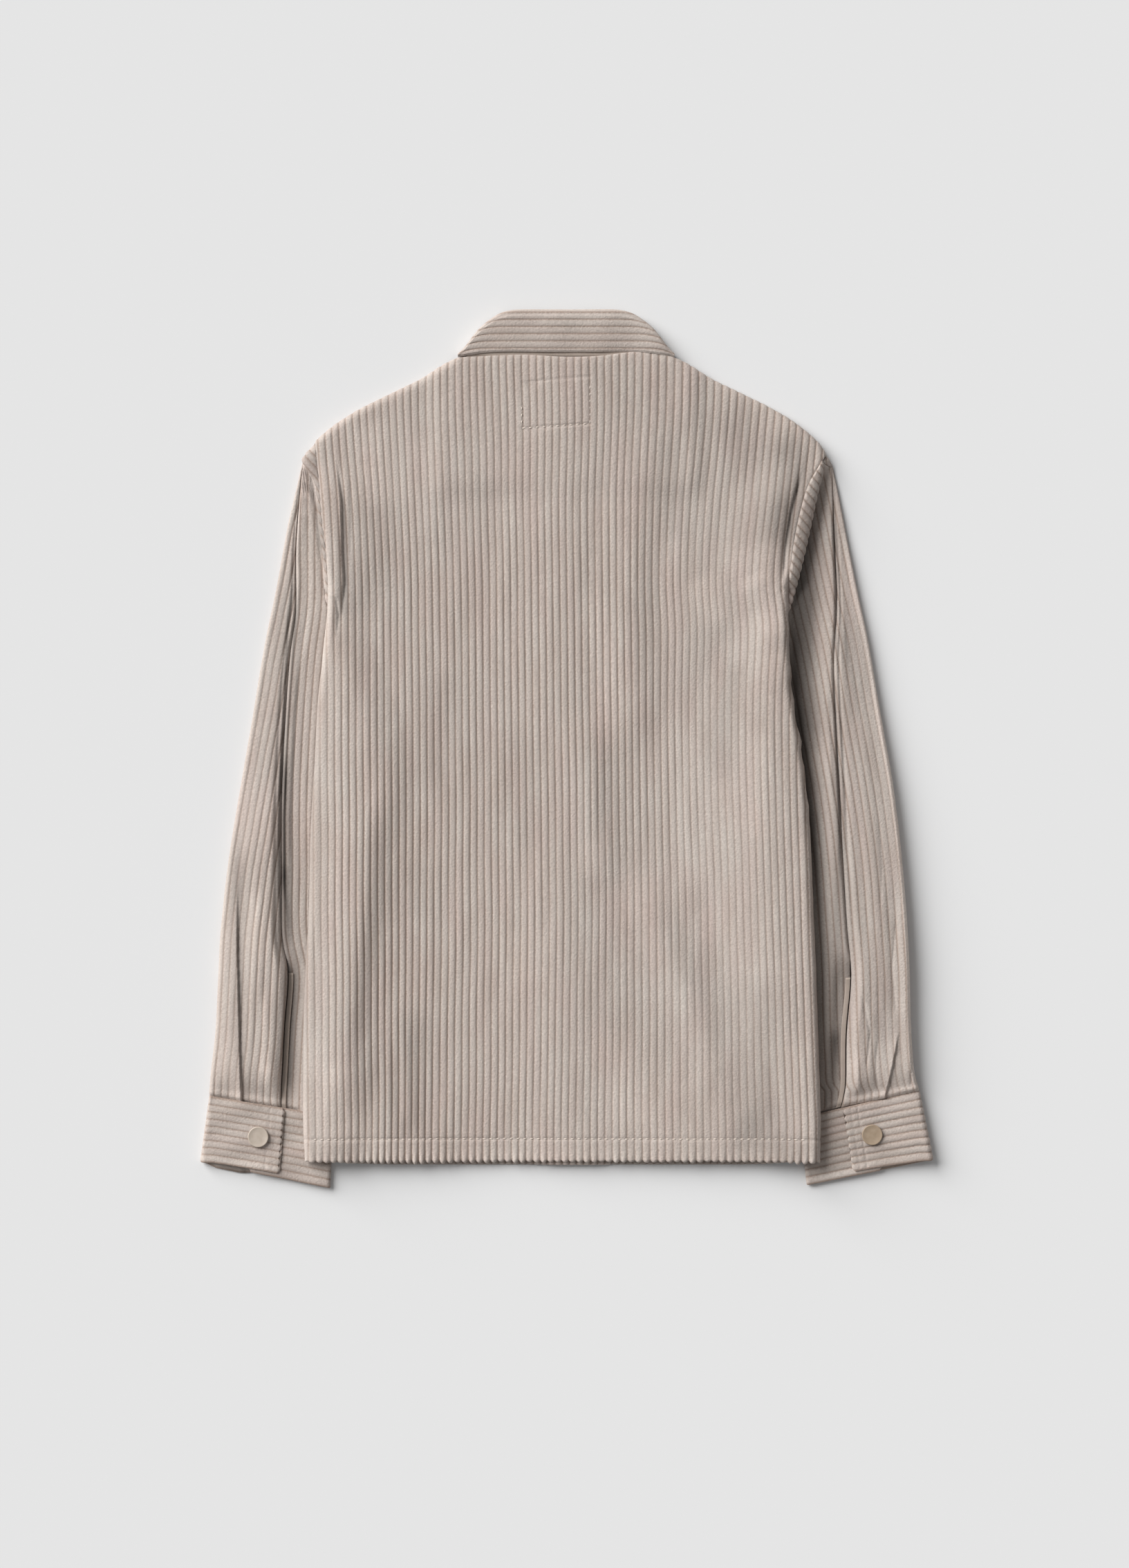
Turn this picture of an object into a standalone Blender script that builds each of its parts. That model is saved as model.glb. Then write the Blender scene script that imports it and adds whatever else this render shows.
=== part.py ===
"""Wide-wale corduroy overshirt, laid face down with both sleeves tucked under its sides.

Metres, +Z up. The floor is z = 0, the collar points to +Y and the back of the shirt is uppermost.
Left and right are the wearer's: left is -X. Each cut piece is a wall with its wales raised on the
outer points and a plain inside. What rests on the floor is plain and flat.
"""

import math
from collections import namedtuple
from functools import lru_cache

import bmesh
import bpy
from mathutils import Vector

# Cloth
GROUND = 0.0014             # cloth between the wales
FLOOR_CLOTH = 0.0016        # plain cloth of the fronts and of what lies on the floor
WALE_HEIGHT = 0.0011        # pile standing above the ground
WALE_PITCH = 0.00685        # from wale to wale
SEAM = 0.0003               # clear width of a seam

# Body
HEM_Y = -0.3745
FRONT_HEM_Y = -0.3785       # the fronts hang a little lower than the back
HEM_DEPTH = 0.0195
HEM_DOUBLE = 0.0022         # thickness of the turned hem
NECK_HALF = 0.0985
NECK_Y = 0.3568
FRONT_NECK_Y = 0.2900
BACK_REST = 0.0056          # height of the back's ground where it lies on plain fronts
SIDE_RISE = 0.0056          # how much higher it lies over a tucked sleeve
ARMHOLE_RISE = 0.0042
SIDE_ROLL = 0.0060          # width of the rolled side edge
SHOULDER_ROLL = 0.0080
SHOULDER_EDGE_Z = 0.0040
UNDERARM_Y = 0.1345
SLEEVE_LIFT = 0.0047        # the fronts' height over a tucked sleeve
CUFF_LIFT = 0.0076          # and over a cuff
COLLAR_LIFT = 0.0021        # and over the collar's front leaf
LAP_HALF = 0.0175           # half of the front closure's overlap
LAP_SNAP_LIFT = 0.0022      # the closure stands on its snaps
LAP_UPPER_LIFT = 0.0042
LAP_RISE = 0.0036           # the back's soft rise over the closure
LAP_SPREAD = 0.0450

# Cuffs
CUFF_HALF_WALL = 0.0011     # half of the doubled cloth
CUFF_WALES = 9
CUFF_WALE_HEIGHT = 0.0010
CUFF_FLOOR_MID = 0.0011     # mid heights of the cuff's three layers
CUFF_UNDER_MID = 0.0043
CUFF_OVER_MID = 0.0069
OVERLAP_SKEW = 0.0040       # the overlap's end lies this much nearer the collar

# Snaps
SNAP_RADIUS = 0.0094
SNAP_THICKNESS = 0.0018
SNAP_RIM = 0.0005
FRONT_SNAP_YS = (0.255, 0.150, 0.045, -0.060, -0.165, -0.270)

# Collar
COLLAR_WALES = 6
FALL_TOP_Z = 0.0097         # mid heights of the fall's back leaf and front leaf
FALL_FLOOR_Z = 0.0008
STAND_TOP_Z = 0.0060
STAND_FLOOR_Z = 0.0031
STAND_HALF_WALL = 0.0007
FALL_HALF_WALL = 0.0008

BodyRow = namedtuple("BodyRow", "y left right")
BODY = (
    BodyRow(y=-0.3785, left=-0.2368, right=0.2297),
    BodyRow(y=-0.350, left=-0.2390, right=0.2310),
    BodyRow(y=-0.262, left=-0.2390, right=0.2290),
    BodyRow(y=-0.199, left=-0.2370, right=0.2270),
    BodyRow(y=-0.136, left=-0.2340, right=0.2240),
    BodyRow(y=-0.080, left=-0.2326, right=0.2216),
    BodyRow(y=-0.040, left=-0.2308, right=0.2185),
    BodyRow(y=0.010, left=-0.2280, right=0.2120),
    BodyRow(y=0.045, left=-0.2260, right=0.2060),
    BodyRow(y=0.090, left=-0.2212, right=0.2030),
    BodyRow(y=0.137, left=-0.2170, right=0.2020),
    BodyRow(y=0.172, left=-0.2185, right=0.2055),
    BodyRow(y=0.208, left=-0.2225, right=0.2118),
    BodyRow(y=0.240, left=-0.2250, right=0.2210),
    BodyRow(y=0.270, left=-0.2278, right=0.2370),
    BodyRow(y=0.290, left=-0.2300, right=0.2390),
)

TopRow = namedtuple("TopRow", "half y")
TOP_LINE = (
    TopRow(half=NECK_HALF, y=NECK_Y),
    TopRow(half=0.108, y=0.3525),
    TopRow(half=0.1325, y=0.3374),
    TopRow(half=0.1635, y=0.3222),
    TopRow(half=0.193, y=0.3071),
    TopRow(half=0.2155, y=0.2920),
    TopRow(half=0.2315, y=0.2770),
    TopRow(half=0.2420, y=0.2600),
)

TuckRow = namedtuple("TuckRow", "y tuck")
TUCK = (
    TuckRow(y=-0.335, tuck=0.026),
    TuckRow(y=-0.262, tuck=0.046),
    TuckRow(y=-0.172, tuck=0.056),
    TuckRow(y=-0.050, tuck=0.060),
    TuckRow(y=0.010, tuck=0.054),
    TuckRow(y=0.060, tuck=0.035),
    TuckRow(y=0.093, tuck=0.016),
    TuckRow(y=0.122, tuck=0.002),
)

# Largest folds of the back: ridges stand up, troughs sink
Fold = namedtuple("Fold", "x0 y0 x1 y1 height width")
BACK_FOLDS = (
    Fold(x0=-0.215, y0=0.275, x1=-0.211, y1=0.120, height=0.0030, width=0.0075),
    Fold(x0=-0.200, y0=0.265, x1=-0.202, y1=0.139, height=-0.0024, width=0.0065),
    Fold(x0=0.210, y0=0.250, x1=0.194, y1=0.160, height=-0.0022, width=0.0070),
    Fold(x0=0.192, y0=0.245, x1=0.180, y1=0.120, height=0.0018, width=0.0100),
    Fold(x0=-0.154, y0=-0.256, x1=-0.152, y1=-0.338, height=-0.0010, width=0.0090),
    Fold(x0=0.120, y0=-0.060, x1=0.165, y1=-0.240, height=0.0012, width=0.0300),
)

# Sleeves: outer edge, inner edge under the body, and the back seam's share of the way between
SleeveRow = namedtuple("SleeveRow", "outer_x outer_y inner_y seam")
LEFT_SLEEVE = (
    SleeveRow(outer_x=-0.2535, outer_y=0.205, inner_y=0.122, seam=0.20),
    SleeveRow(outer_x=-0.2640, outer_y=0.147, inner_y=0.093, seam=0.30),
    SleeveRow(outer_x=-0.2745, outer_y=0.097, inner_y=0.060, seam=0.27),
    SleeveRow(outer_x=-0.2850, outer_y=0.034, inner_y=0.010, seam=0.26),
    SleeveRow(outer_x=-0.2970, outer_y=-0.036, inner_y=-0.050, seam=0.30),
    SleeveRow(outer_x=-0.3080, outer_y=-0.105, inner_y=-0.115, seam=0.363),
    SleeveRow(outer_x=-0.3145, outer_y=-0.165, inner_y=-0.172, seam=0.41),
    SleeveRow(outer_x=-0.3165, outer_y=-0.200, inner_y=-0.208, seam=0.475),
    SleeveRow(outer_x=-0.3190, outer_y=-0.250, inner_y=-0.262, seam=0.492),
    SleeveRow(outer_x=-0.3235, outer_y=-0.295, inner_y=-0.312, seam=0.548),
    SleeveRow(outer_x=-0.3255, outer_y=-0.3165, inner_y=-0.335, seam=0.583),
)
RIGHT_SLEEVE = (
    SleeveRow(outer_x=0.2535, outer_y=0.205, inner_y=0.122, seam=0.18),
    SleeveRow(outer_x=0.2648, outer_y=0.147, inner_y=0.093, seam=0.24),
    SleeveRow(outer_x=0.2755, outer_y=0.097, inner_y=0.060, seam=0.30),
    SleeveRow(outer_x=0.2860, outer_y=0.034, inner_y=0.010, seam=0.318),
    SleeveRow(outer_x=0.2980, outer_y=-0.036, inner_y=-0.050, seam=0.354),
    SleeveRow(outer_x=0.3060, outer_y=-0.105, inner_y=-0.115, seam=0.378),
    SleeveRow(outer_x=0.3105, outer_y=-0.165, inner_y=-0.172, seam=0.388),
    SleeveRow(outer_x=0.3125, outer_y=-0.205, inner_y=-0.213, seam=0.385),
    SleeveRow(outer_x=0.3135, outer_y=-0.250, inner_y=-0.262, seam=0.444),
    SleeveRow(outer_x=0.3165, outer_y=-0.292, inner_y=-0.312, seam=0.52),
    SleeveRow(outer_x=0.3215, outer_y=-0.3110, inner_y=-0.337, seam=0.61),
)
SLIT_ROWS = 4               # the vent is open over this many of the last rows
SLEEVE_TOP_Z = 0.0050       # ground height of the sleeve's upper layer
SLEEVE_TUCKED_Z = 0.0038    # and where it lies under the body
SLEEVE_CUFF_Z = 0.0066      # and of the vent's upper side at the cuff
CAP_WIDTH = 0.0110          # raised sleeve head beside the armhole
ARMHOLE_CLEAR = 0.0004      # between sleeve and body along the armhole
UNDERARM_CLEAR = 0.0007
ARMHOLE_TUCK = 0.0012       # how far the sleeve's upper edge lies under the back's
ARMHOLE_DROP = 0.0016       # and how far below it
UNDERARM_Z = 0.0062         # height of the sleeve's fold at the underarm
CAP_END_Z = 0.0050
CAP_RIM_Z = {-1: 0.0056, 1: 0.0072}
CAP_TIPS = {-1: (-0.2408, 0.2590), 1: (0.2432, 0.2575)}

CuffPlan = namedtuple("CuffPlan", "seam_outer seam_inner free_outer free_inner over_end under_end snap")
LEFT_CUFF = CuffPlan(
    seam_outer=(-0.3258, -0.3169), seam_inner=(-0.2120, -0.3355),
    free_outer=(-0.3340, -0.3755), free_inner=(-0.2145, -0.3995),
    over_end=0.59, under_end=0.39, snap=(-0.2804, -0.3531),
)
RIGHT_CUFF = CuffPlan(
    seam_outer=(0.3220, -0.3113), seam_inner=(0.2120, -0.3375),
    free_outer=(0.3345, -0.3735), free_inner=(0.2187, -0.3968),
    over_end=0.615, under_end=0.42, snap=(0.2785, -0.3512),
)

SETTLE_STEPS = 30

COLLECTION = "corduroy_overshirt"
CLOTH_COLOUR = "#B1A59C"
STAND_COLOUR = "#A4968C"
SNAP_COLOUR = "#AC9C88"


def linear(colour):
    """Linear RGBA of an sRGB hex colour."""
    channels = [int(colour[k:k + 2], 16) / 255 for k in (1, 3, 5)]
    return [c / 12.92 if c <= 0.04045 else ((c + 0.055) / 1.055) ** 2.4 for c in channels] + [1.0]


def mix(a, b, share):
    """Value between a and b."""
    return a + (b - a) * share


def ramp(value):
    """Soft step from 0 to 1 while value goes from 0 to 1."""
    value = min(1.0, max(0.0, value))
    return value * value * (3.0 - 2.0 * value)


def curve(table, key, column):
    """Function that reads one column of a table as a soft curve through its rows."""
    rows = sorted(table, key=lambda row: getattr(row, key))
    xs = [getattr(row, key) for row in rows]
    ys = [getattr(row, column) for row in rows]
    chords = [(ys[k + 1] - ys[k]) / (xs[k + 1] - xs[k]) for k in range(len(xs) - 1)]
    slopes = [chords[0]] + [(a + b) / 2 for a, b in zip(chords, chords[1:])] + [chords[-1]]

    def at(x):
        x = min(xs[-1], max(xs[0], x))
        k = next((n for n in range(len(xs) - 1) if x <= xs[n + 1]), len(xs) - 2)
        width = xs[k + 1] - xs[k]
        t = (x - xs[k]) / width
        rise = ys[k] * (1 + 2 * t) * (1 - t) ** 2 + ys[k + 1] * t * t * (3 - 2 * t)
        return rise + width * (slopes[k] * t * (1 - t) ** 2 - slopes[k + 1] * t * t * (1 - t))

    return at


LEFT_EDGE = curve(BODY, "y", "left")
RIGHT_EDGE = curve(BODY, "y", "right")
SHOULDER = curve(TOP_LINE, "half", "y")
TUCK_AT = curve(TUCK, "y", "tuck")


def edge(side, y):
    """X of the body's side edge or armhole, side -1 for left."""
    return LEFT_EDGE(y) if side < 0 else RIGHT_EDGE(y)


def inner_edge(side, y):
    """X of the tucked sleeve's inner edge."""
    return edge(side, y) - side * TUCK_AT(y)


def bridge(bm, chain_a, chain_b):
    """Triangles between two chains of (key, vertex) whose keys grow together."""
    i = j = 0
    while i < len(chain_a) - 1 or j < len(chain_b) - 1:
        a_ends = i == len(chain_a) - 1
        b_ends = j == len(chain_b) - 1
        if b_ends or (not a_ends and chain_a[i + 1][0] <= chain_b[j + 1][0]):
            bm.faces.new((chain_a[i][1], chain_a[i + 1][1], chain_b[j][1]))
            i += 1
        else:
            bm.faces.new((chain_a[i][1], chain_b[j + 1][1], chain_b[j][1]))
            j += 1


def finish(bm, name, colour, roughness, metallic=0.0):
    """New object from a mesh under construction, with its own material."""
    bmesh.ops.recalc_face_normals(bm, faces=bm.faces)
    mesh = bpy.data.meshes.new(name)
    bm.to_mesh(mesh)
    bm.free()
    material = bpy.data.materials.new(name + "_finish")
    material.use_nodes = True
    shader = material.node_tree.nodes["Principled BSDF"]
    shader.inputs["Base Color"].default_value = linear(colour)
    shader.inputs["Roughness"].default_value = roughness
    shader.inputs["Metallic"].default_value = metallic
    mesh.materials.append(material)
    piece = bpy.data.objects.new(name, mesh)
    bpy.data.collections[COLLECTION].objects.link(piece)
    return piece


def wall(name, outer_rows, inner_rows, colour=CLOTH_COLOUR):
    """Closed wall between outer rows and inner rows of (key, point), with as many rows in each."""
    bm = bmesh.new()
    sides = []
    for rows in (outer_rows, inner_rows):
        grid = [[(key, bm.verts.new(point)) for key, point in row] for row in rows]
        for low, high in zip(grid, grid[1:]):
            bridge(bm, low, high)
        sides.append(grid)
    outer, inner = sides
    for end in (0, -1):
        bridge(bm, outer[end], inner[end])
        bridge(
            bm,
            [(k, row[end][1]) for k, row in enumerate(outer)],
            [(k, row[end][1]) for k, row in enumerate(inner)],
        )
    return finish(bm, name, colour, 0.95)


def fold_height(folds, x, y):
    """Sum of a table's folds at a point."""
    total = 0.0
    point = Vector((x, y))
    for fold in folds:
        start = Vector((fold.x0, fold.y0))
        along = Vector((fold.x1, fold.y1)) - start
        share = (point - start).dot(along) / along.length_squared
        across = (point - start - along * share).length / fold.width
        ends = ramp((share + 0.15) / 0.3) * ramp((1.15 - share) / 0.3)
        total += fold.height * math.exp(-across * across) * ends
    return total


def over_collar(x, y):
    """How far the collar's front leaf lies under a point, 0 to 1."""
    return ramp((y - 0.222) / 0.026) * ramp((0.132 - abs(x)) / 0.022)


def below_underarm(y):
    """1 along the side edges, 0 along the armholes."""
    return ramp((0.165 - y) / 0.024)


def tucked(x, y):
    """How far a tucked sleeve lies under a point, 0 to 1."""
    side = -1 if x < 0 else 1
    reach = abs(x) - abs(inner_edge(side, y))
    return ramp((reach + 0.040) / 0.028) * below_underarm(y)


def stack_lift(x, y):
    """Height of the fronts' underside over what is tucked below them."""
    side_lift = mix(SLEEVE_LIFT, CUFF_LIFT, ramp((-0.255 - y) / 0.045))
    return max(side_lift * tucked(x, y), COLLAR_LIFT * over_collar(x, y))


def back_ground(x, y):
    """Height of the back's outer ground, without rolled edges or wales."""
    side = -1 if x < 0 else 1
    lap = LAP_RISE * math.exp(-((x / LAP_SPREAD) ** 2))
    collar = 0.0027 * over_collar(x, y)
    reach = abs(x) - abs(edge(side, y))
    armhole = ARMHOLE_RISE * ramp((reach + 0.075) / 0.060) * (1 - below_underarm(y))
    cuff = 0.0022 * ramp((-0.255 - y) / 0.045)
    tuck = (SIDE_RISE + cuff) * ramp((abs(x) - abs(inner_edge(side, y)) + 0.050) / 0.045)
    side_rise = tuck * below_underarm(y) + armhole
    return BACK_REST + math.hypot(lap, collar) + side_rise + fold_height(BACK_FOLDS, x, y)


# Rows of the back, from the hem up to the shoulders
BackRow = namedtuple("BackRow", "kind value")
BACK_SHARES = (0.11, 0.22, 0.33, 0.44, 0.55, 0.65, 0.73, 0.79, 0.86, 0.93, 1.0)
BACK_ROWS = (
    [BackRow("hem", HEM_DEPTH * share) for share in (0.0, 0.95, 1.05)]
    + [BackRow("share", share) for share in BACK_SHARES]
    + [BackRow("roll", math.radians(angle)) for angle in (40, 90)]
)


def top_y(x):
    """The back's top line: neck seam, then shoulder."""
    return SHOULDER(abs(x)) if abs(x) > NECK_HALF else NECK_Y


def back_y(x, row):
    """Height up the back where a row crosses the column at x."""
    top = top_y(x)
    if row.kind == "hem":
        return HEM_Y + row.value
    if row.kind == "share":
        return mix(HEM_Y + HEM_DEPTH, top - SHOULDER_ROLL, row.value)
    return top - SHOULDER_ROLL * (1 - math.sin(row.value))


def settle(start, step):
    """Value that a step leaves as it is, found by going half way there again and again."""
    value = start
    for _ in range(SETTLE_STEPS):
        value = mix(value, step(value), 0.5)
    return value


@lru_cache(maxsize=None)
def row_end(side, row):
    """X where a row of the back meets the side edge."""
    return settle(edge(side, 0.0), lambda x: edge(side, back_y(x, row)))


def side_angle(y):
    """How far the edge rolls down: right over at the sides, less at the armholes."""
    return math.radians(mix(50, 90, below_underarm(y)))


def back_point(x, row, roll=0.0, side=0):
    """Point of the back's outer ground and its outward direction; roll turns it over the side edge."""
    y = back_y(x + side * SIDE_ROLL * math.sin(roll), row)
    turn = row.value if row.kind == "roll" else 0.0
    shoulder = ramp((abs(x) - 0.094) / 0.016)
    ground = back_ground(x, y)
    drop = (ground - SHOULDER_EDGE_Z) * (1 - math.cos(turn)) * shoulder
    normal = Vector((0.0, math.sin(turn) * shoulder, math.cos(turn * shoulder)))
    place = Vector((x, y, ground - drop))
    if side:
        place.x += side * SIDE_ROLL * math.sin(roll)
        depth = min(0.0040, (place.z - 0.0030) * 0.5)
        place.z -= depth * (1 - math.cos(roll))
        normal += Vector((side * math.sin(roll), 0.0, math.cos(roll) - 1.0))
    return place, normal.normalized()


def back_rows(columns, height, thickness_of):
    """Rows of (key, point) on the back; height of 0 gives the plain inside."""
    rows = []
    for row in BACK_ROWS:
        chain = []
        for side in (-1, 1):
            end = row_end(side, row)
            angle = side_angle(back_y(end, row))
            start = end - side * SIDE_ROLL * math.sin(angle)
            rolls = []
            for step, share in enumerate((0.0, 0.5, 1.0)):
                place, normal = back_point(start, row, angle * share, side)
                rolls.append((side * (10 + step), place - normal * thickness_of(row)))
            if side < 0:
                chain += rolls[::-1]
                left_start = start
            else:
                for k, x in columns:
                    if left_start + 0.002 < x < start - 0.002:
                        place, normal = back_point(x, row)
                        fade = ramp((x - left_start) / 0.006) * ramp((start - x) / 0.006)
                        raised = height * fade if k % 2 else 0.0
                        chain.append((x, place + normal * (raised - thickness_of(row))))
                chain += rolls
        rows.append(chain)
    return rows


def make_back():
    """The back, with a wale on every second column and a doubled hem."""
    half = WALE_PITCH / 2
    count = int(0.245 / half)
    fine = [(k, k * half) for k in range(-count, count + 1)]
    coarse = [(k, x) for k, x in fine if k % 4 == 0 or abs(x) > 0.175]

    def thickness(row):
        return HEM_DOUBLE if row.kind == "hem" and row.value < HEM_DEPTH else GROUND

    outer = back_rows(fine, WALE_HEIGHT, lambda row: 0.0)
    inner = back_rows(coarse, 0.0, thickness)
    return wall("back", outer, inner)


def lap_lift(side, x):
    """Height of a front's closure: the left one stands on its snaps, the right one lies on the left."""
    if side < 0:
        return LAP_SNAP_LIFT * ramp((x + 0.038) / 0.018)
    return LAP_UPPER_LIFT * ramp((0.050 - x) / 0.028)


def front_top_y(x):
    """The fronts' top line: neckline, then shoulder."""
    if abs(x) > NECK_HALF:
        return SHOULDER(abs(x))
    return mix(FRONT_NECK_Y, NECK_Y, abs(x) / NECK_HALF)


# Columns of a front: shares of the way from side to neck, then places from the neck to past the middle
FRONT_SIDE_SHARES = (0.0, 0.022, 0.048, 0.14, 0.25, 0.37, 0.50, 0.64, 0.80, 1.0)
FRONT_MIDDLE_XS = (0.075, 0.052, 0.043, 0.034, 0.024, 0.0, -LAP_HALF)


def front_columns(side):
    """Shares across a front, 0 at the side edge and 1 at the closure's edge."""
    tip = abs(edge(side, 0.27))
    places = [mix(tip, NECK_HALF, share) for share in FRONT_SIDE_SHARES] + list(FRONT_MIDDLE_XS)
    return [(tip - place) / (tip + LAP_HALF) for place in places]


def front_x(side, column, y):
    """X of a front's column at a height: 0 is the side edge and 1 the closure's edge."""
    return mix(edge(side, y), -side * LAP_HALF, column)


def front_y(side, column, row):
    """Height up a front where a row crosses a column; at the side it meets the back's row."""
    hem = mix(HEM_Y, FRONT_HEM_Y, ramp(column / 0.3))
    if row.kind == "hem":
        return hem + row.value
    below_back = SEAM * ramp(column / 0.05)

    def crossing(y):
        top = front_top_y(front_x(side, column, y)) - below_back
        if row.kind == "share":
            return mix(hem + HEM_DEPTH, top - SHOULDER_ROLL, row.value)
        return top - SHOULDER_ROLL * (1 - math.sin(row.value))

    return settle(UNDERARM_Y, crossing)


def front_point(side, column, row, inside):
    """Point of a front, column 0 at the side edge and 1 at the closure."""
    y = front_y(side, column, row)
    x = front_x(side, column, y)
    z = max(stack_lift(x, y), lap_lift(side, x))
    inward = Vector((0.0, 0.0, 1.0))
    from_edge = abs(x - edge(side, y))
    near_edge = max(0.0, 1 - from_edge / SIDE_ROLL)
    roll = below_underarm(y) * near_edge
    shoulder = ramp((abs(x) - NECK_HALF) / 0.012)
    over = shoulder * math.sin(row.value) if row.kind == "roll" else 0.0
    if roll:
        rise = front_edge_z(side, y) - z
        z += rise * (1 - math.sqrt(1 - roll * roll))
        inward += Vector((-side * roll, 0.0, -roll))
    if over:
        z += max(0.0, SHOULDER_EDGE_Z - SEAM - z) * (1 - math.sqrt(max(0.0, 1 - over * over)))
        inward += Vector((-side * 0.6 * over * near_edge, -over, -0.9 * over))
    place = Vector((x, y, z))
    return place + inward.normalized() * FLOOR_CLOTH if inside else place


def front_edge_z(side, y):
    """Height of the side seam, just under the back's rolled edge."""
    x = edge(side, y) - side * SIDE_ROLL * math.sin(side_angle(y))
    ground = back_ground(x, y)
    return ground - min(0.0040, (ground - 0.0030) * 0.5) * (1 - math.cos(side_angle(y))) - SEAM


def make_front(name, side):
    """One front, from the side seam to past the middle."""
    columns = front_columns(side)
    grids = []
    for inside in (False, True):
        grids.append([
            [(column, front_point(side, column, row, inside)) for column in columns]
            for row in BACK_ROWS
        ])
    return wall(name, grids[0], grids[1])


@lru_cache(maxsize=None)
def armhole_heights(side):
    """Heights of the points along an armhole: its ends, and where the body's rows meet it."""
    rows = [back_y(row_end(side, row), row) for row in BACK_ROWS]
    tip = rows[-1] - 2 * SEAM
    between = [y for y in rows[::-1] if UNDERARM_Y + 0.003 < y < tip - 0.001]
    return [tip] + between + [UNDERARM_Y]


def armhole_line(side, clear_at_tip, clear_at_end):
    """Plan line along an armhole, outside it, as straight runs between its points."""
    heights = armhole_heights(side)
    points = []
    for y in heights:
        share = (heights[0] - y) / (heights[0] - heights[-1])
        points.append(Vector((edge(side, y) + side * mix(clear_at_tip, clear_at_end, share), y)))

    def along(f):
        y = mix(heights[0], heights[-1], f)
        for high, low in zip(points, points[1:]):
            if y >= low.y:
                return high.lerp(low, (high.y - y) / (high.y - low.y))
        return points[-1]

    return along


def sleeve_line(side, rows, k):
    """Plan line of a sleeve's ring: row -2 is the armhole, -1 the cap's rim, then the table's rows."""
    if k >= 0:
        row = rows[k]
        start = Vector((row.outer_x, row.outer_y))
        stop = Vector((inner_edge(side, row.inner_y), row.inner_y))
        return lambda f: start.lerp(stop, f)
    if k == -2:
        return armhole_line(side, ARMHOLE_CLEAR, UNDERARM_CLEAR)
    tip = Vector(CAP_TIPS[side])
    seam_line = armhole_line(side, CAP_WIDTH, 0.0026)
    return lambda f: seam_line(f).lerp(tip, ramp(1 - f / 0.35))


def sleeve_top_z(side, rows, k, f, place, outer_strip):
    """Ground height of the sleeve's upper layer."""
    beside = (abs(place.x) - abs(edge(side, place.y))) / 0.014
    under = mix(SLEEVE_TUCKED_Z, SLEEVE_TOP_Z, ramp(beside))
    if k == -2:
        below_back = mix(ARMHOLE_CLEAR, ARMHOLE_DROP, armhole_tuck(f))
        return mix(armhole_z(side, place.y) - below_back, UNDERARM_Z, ramp((f - 0.86) / 0.14))
    if k == -1:
        rim = mix(CAP_RIM_Z[side], CAP_END_Z, ramp((f - 0.70) / 0.30))
        return rim * mix(0.75, 1.0, ramp(f / 0.15))
    to_cuff = ramp((k - (len(rows) - SLIT_ROWS - 1)) / (SLIT_ROWS - 1.0))
    if outer_strip:
        return mix(under, SLEEVE_CUFF_Z, to_cuff * ramp(f / 0.2))
    return mix(under, 0.0042, to_cuff * ramp(beside))


def armhole_tuck(f):
    """How far the sleeve's upper edge goes under the back along the armhole, 0 at its two ends."""
    return ramp((f - 0.08) / 0.12) * ramp((0.92 - f) / 0.10)


def armhole_z(side, y):
    """Height of the back's armhole edge, straight between its points."""
    heights = armhole_heights(side)
    for high, low in zip(heights, heights[1:]):
        if y >= low:
            return mix(edge_z(side, high), edge_z(side, low), (high - y) / (high - low))
    return edge_z(side, heights[-1])


def edge_z(side, y):
    """Height of the back's rolled edge at the side or the armhole."""
    angle = side_angle(y)
    x = edge(side, y) - side * SIDE_ROLL * math.sin(angle)
    ground = back_ground(x, y)
    near_tip = ramp((y - top_y(edge(side, y)) + 0.012) / 0.012)
    ground = mix(ground, SHOULDER_EDGE_Z, near_tip)
    return ground - min(0.0040, (ground - 0.0030) * 0.5) * (1 - math.cos(angle))


RingPoint = namedtuple("RingPoint", "key place normal raised")


def armhole_shares(side, first, last):
    """Shares of the run from first to last at an armhole's own points."""
    heights = armhole_heights(side)
    places = [(heights[0] - y) / (heights[0] - heights[-1]) for y in heights]
    return [(place - first) / (last - first) for place in places if first + 0.02 < place < last - 0.02]


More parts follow.
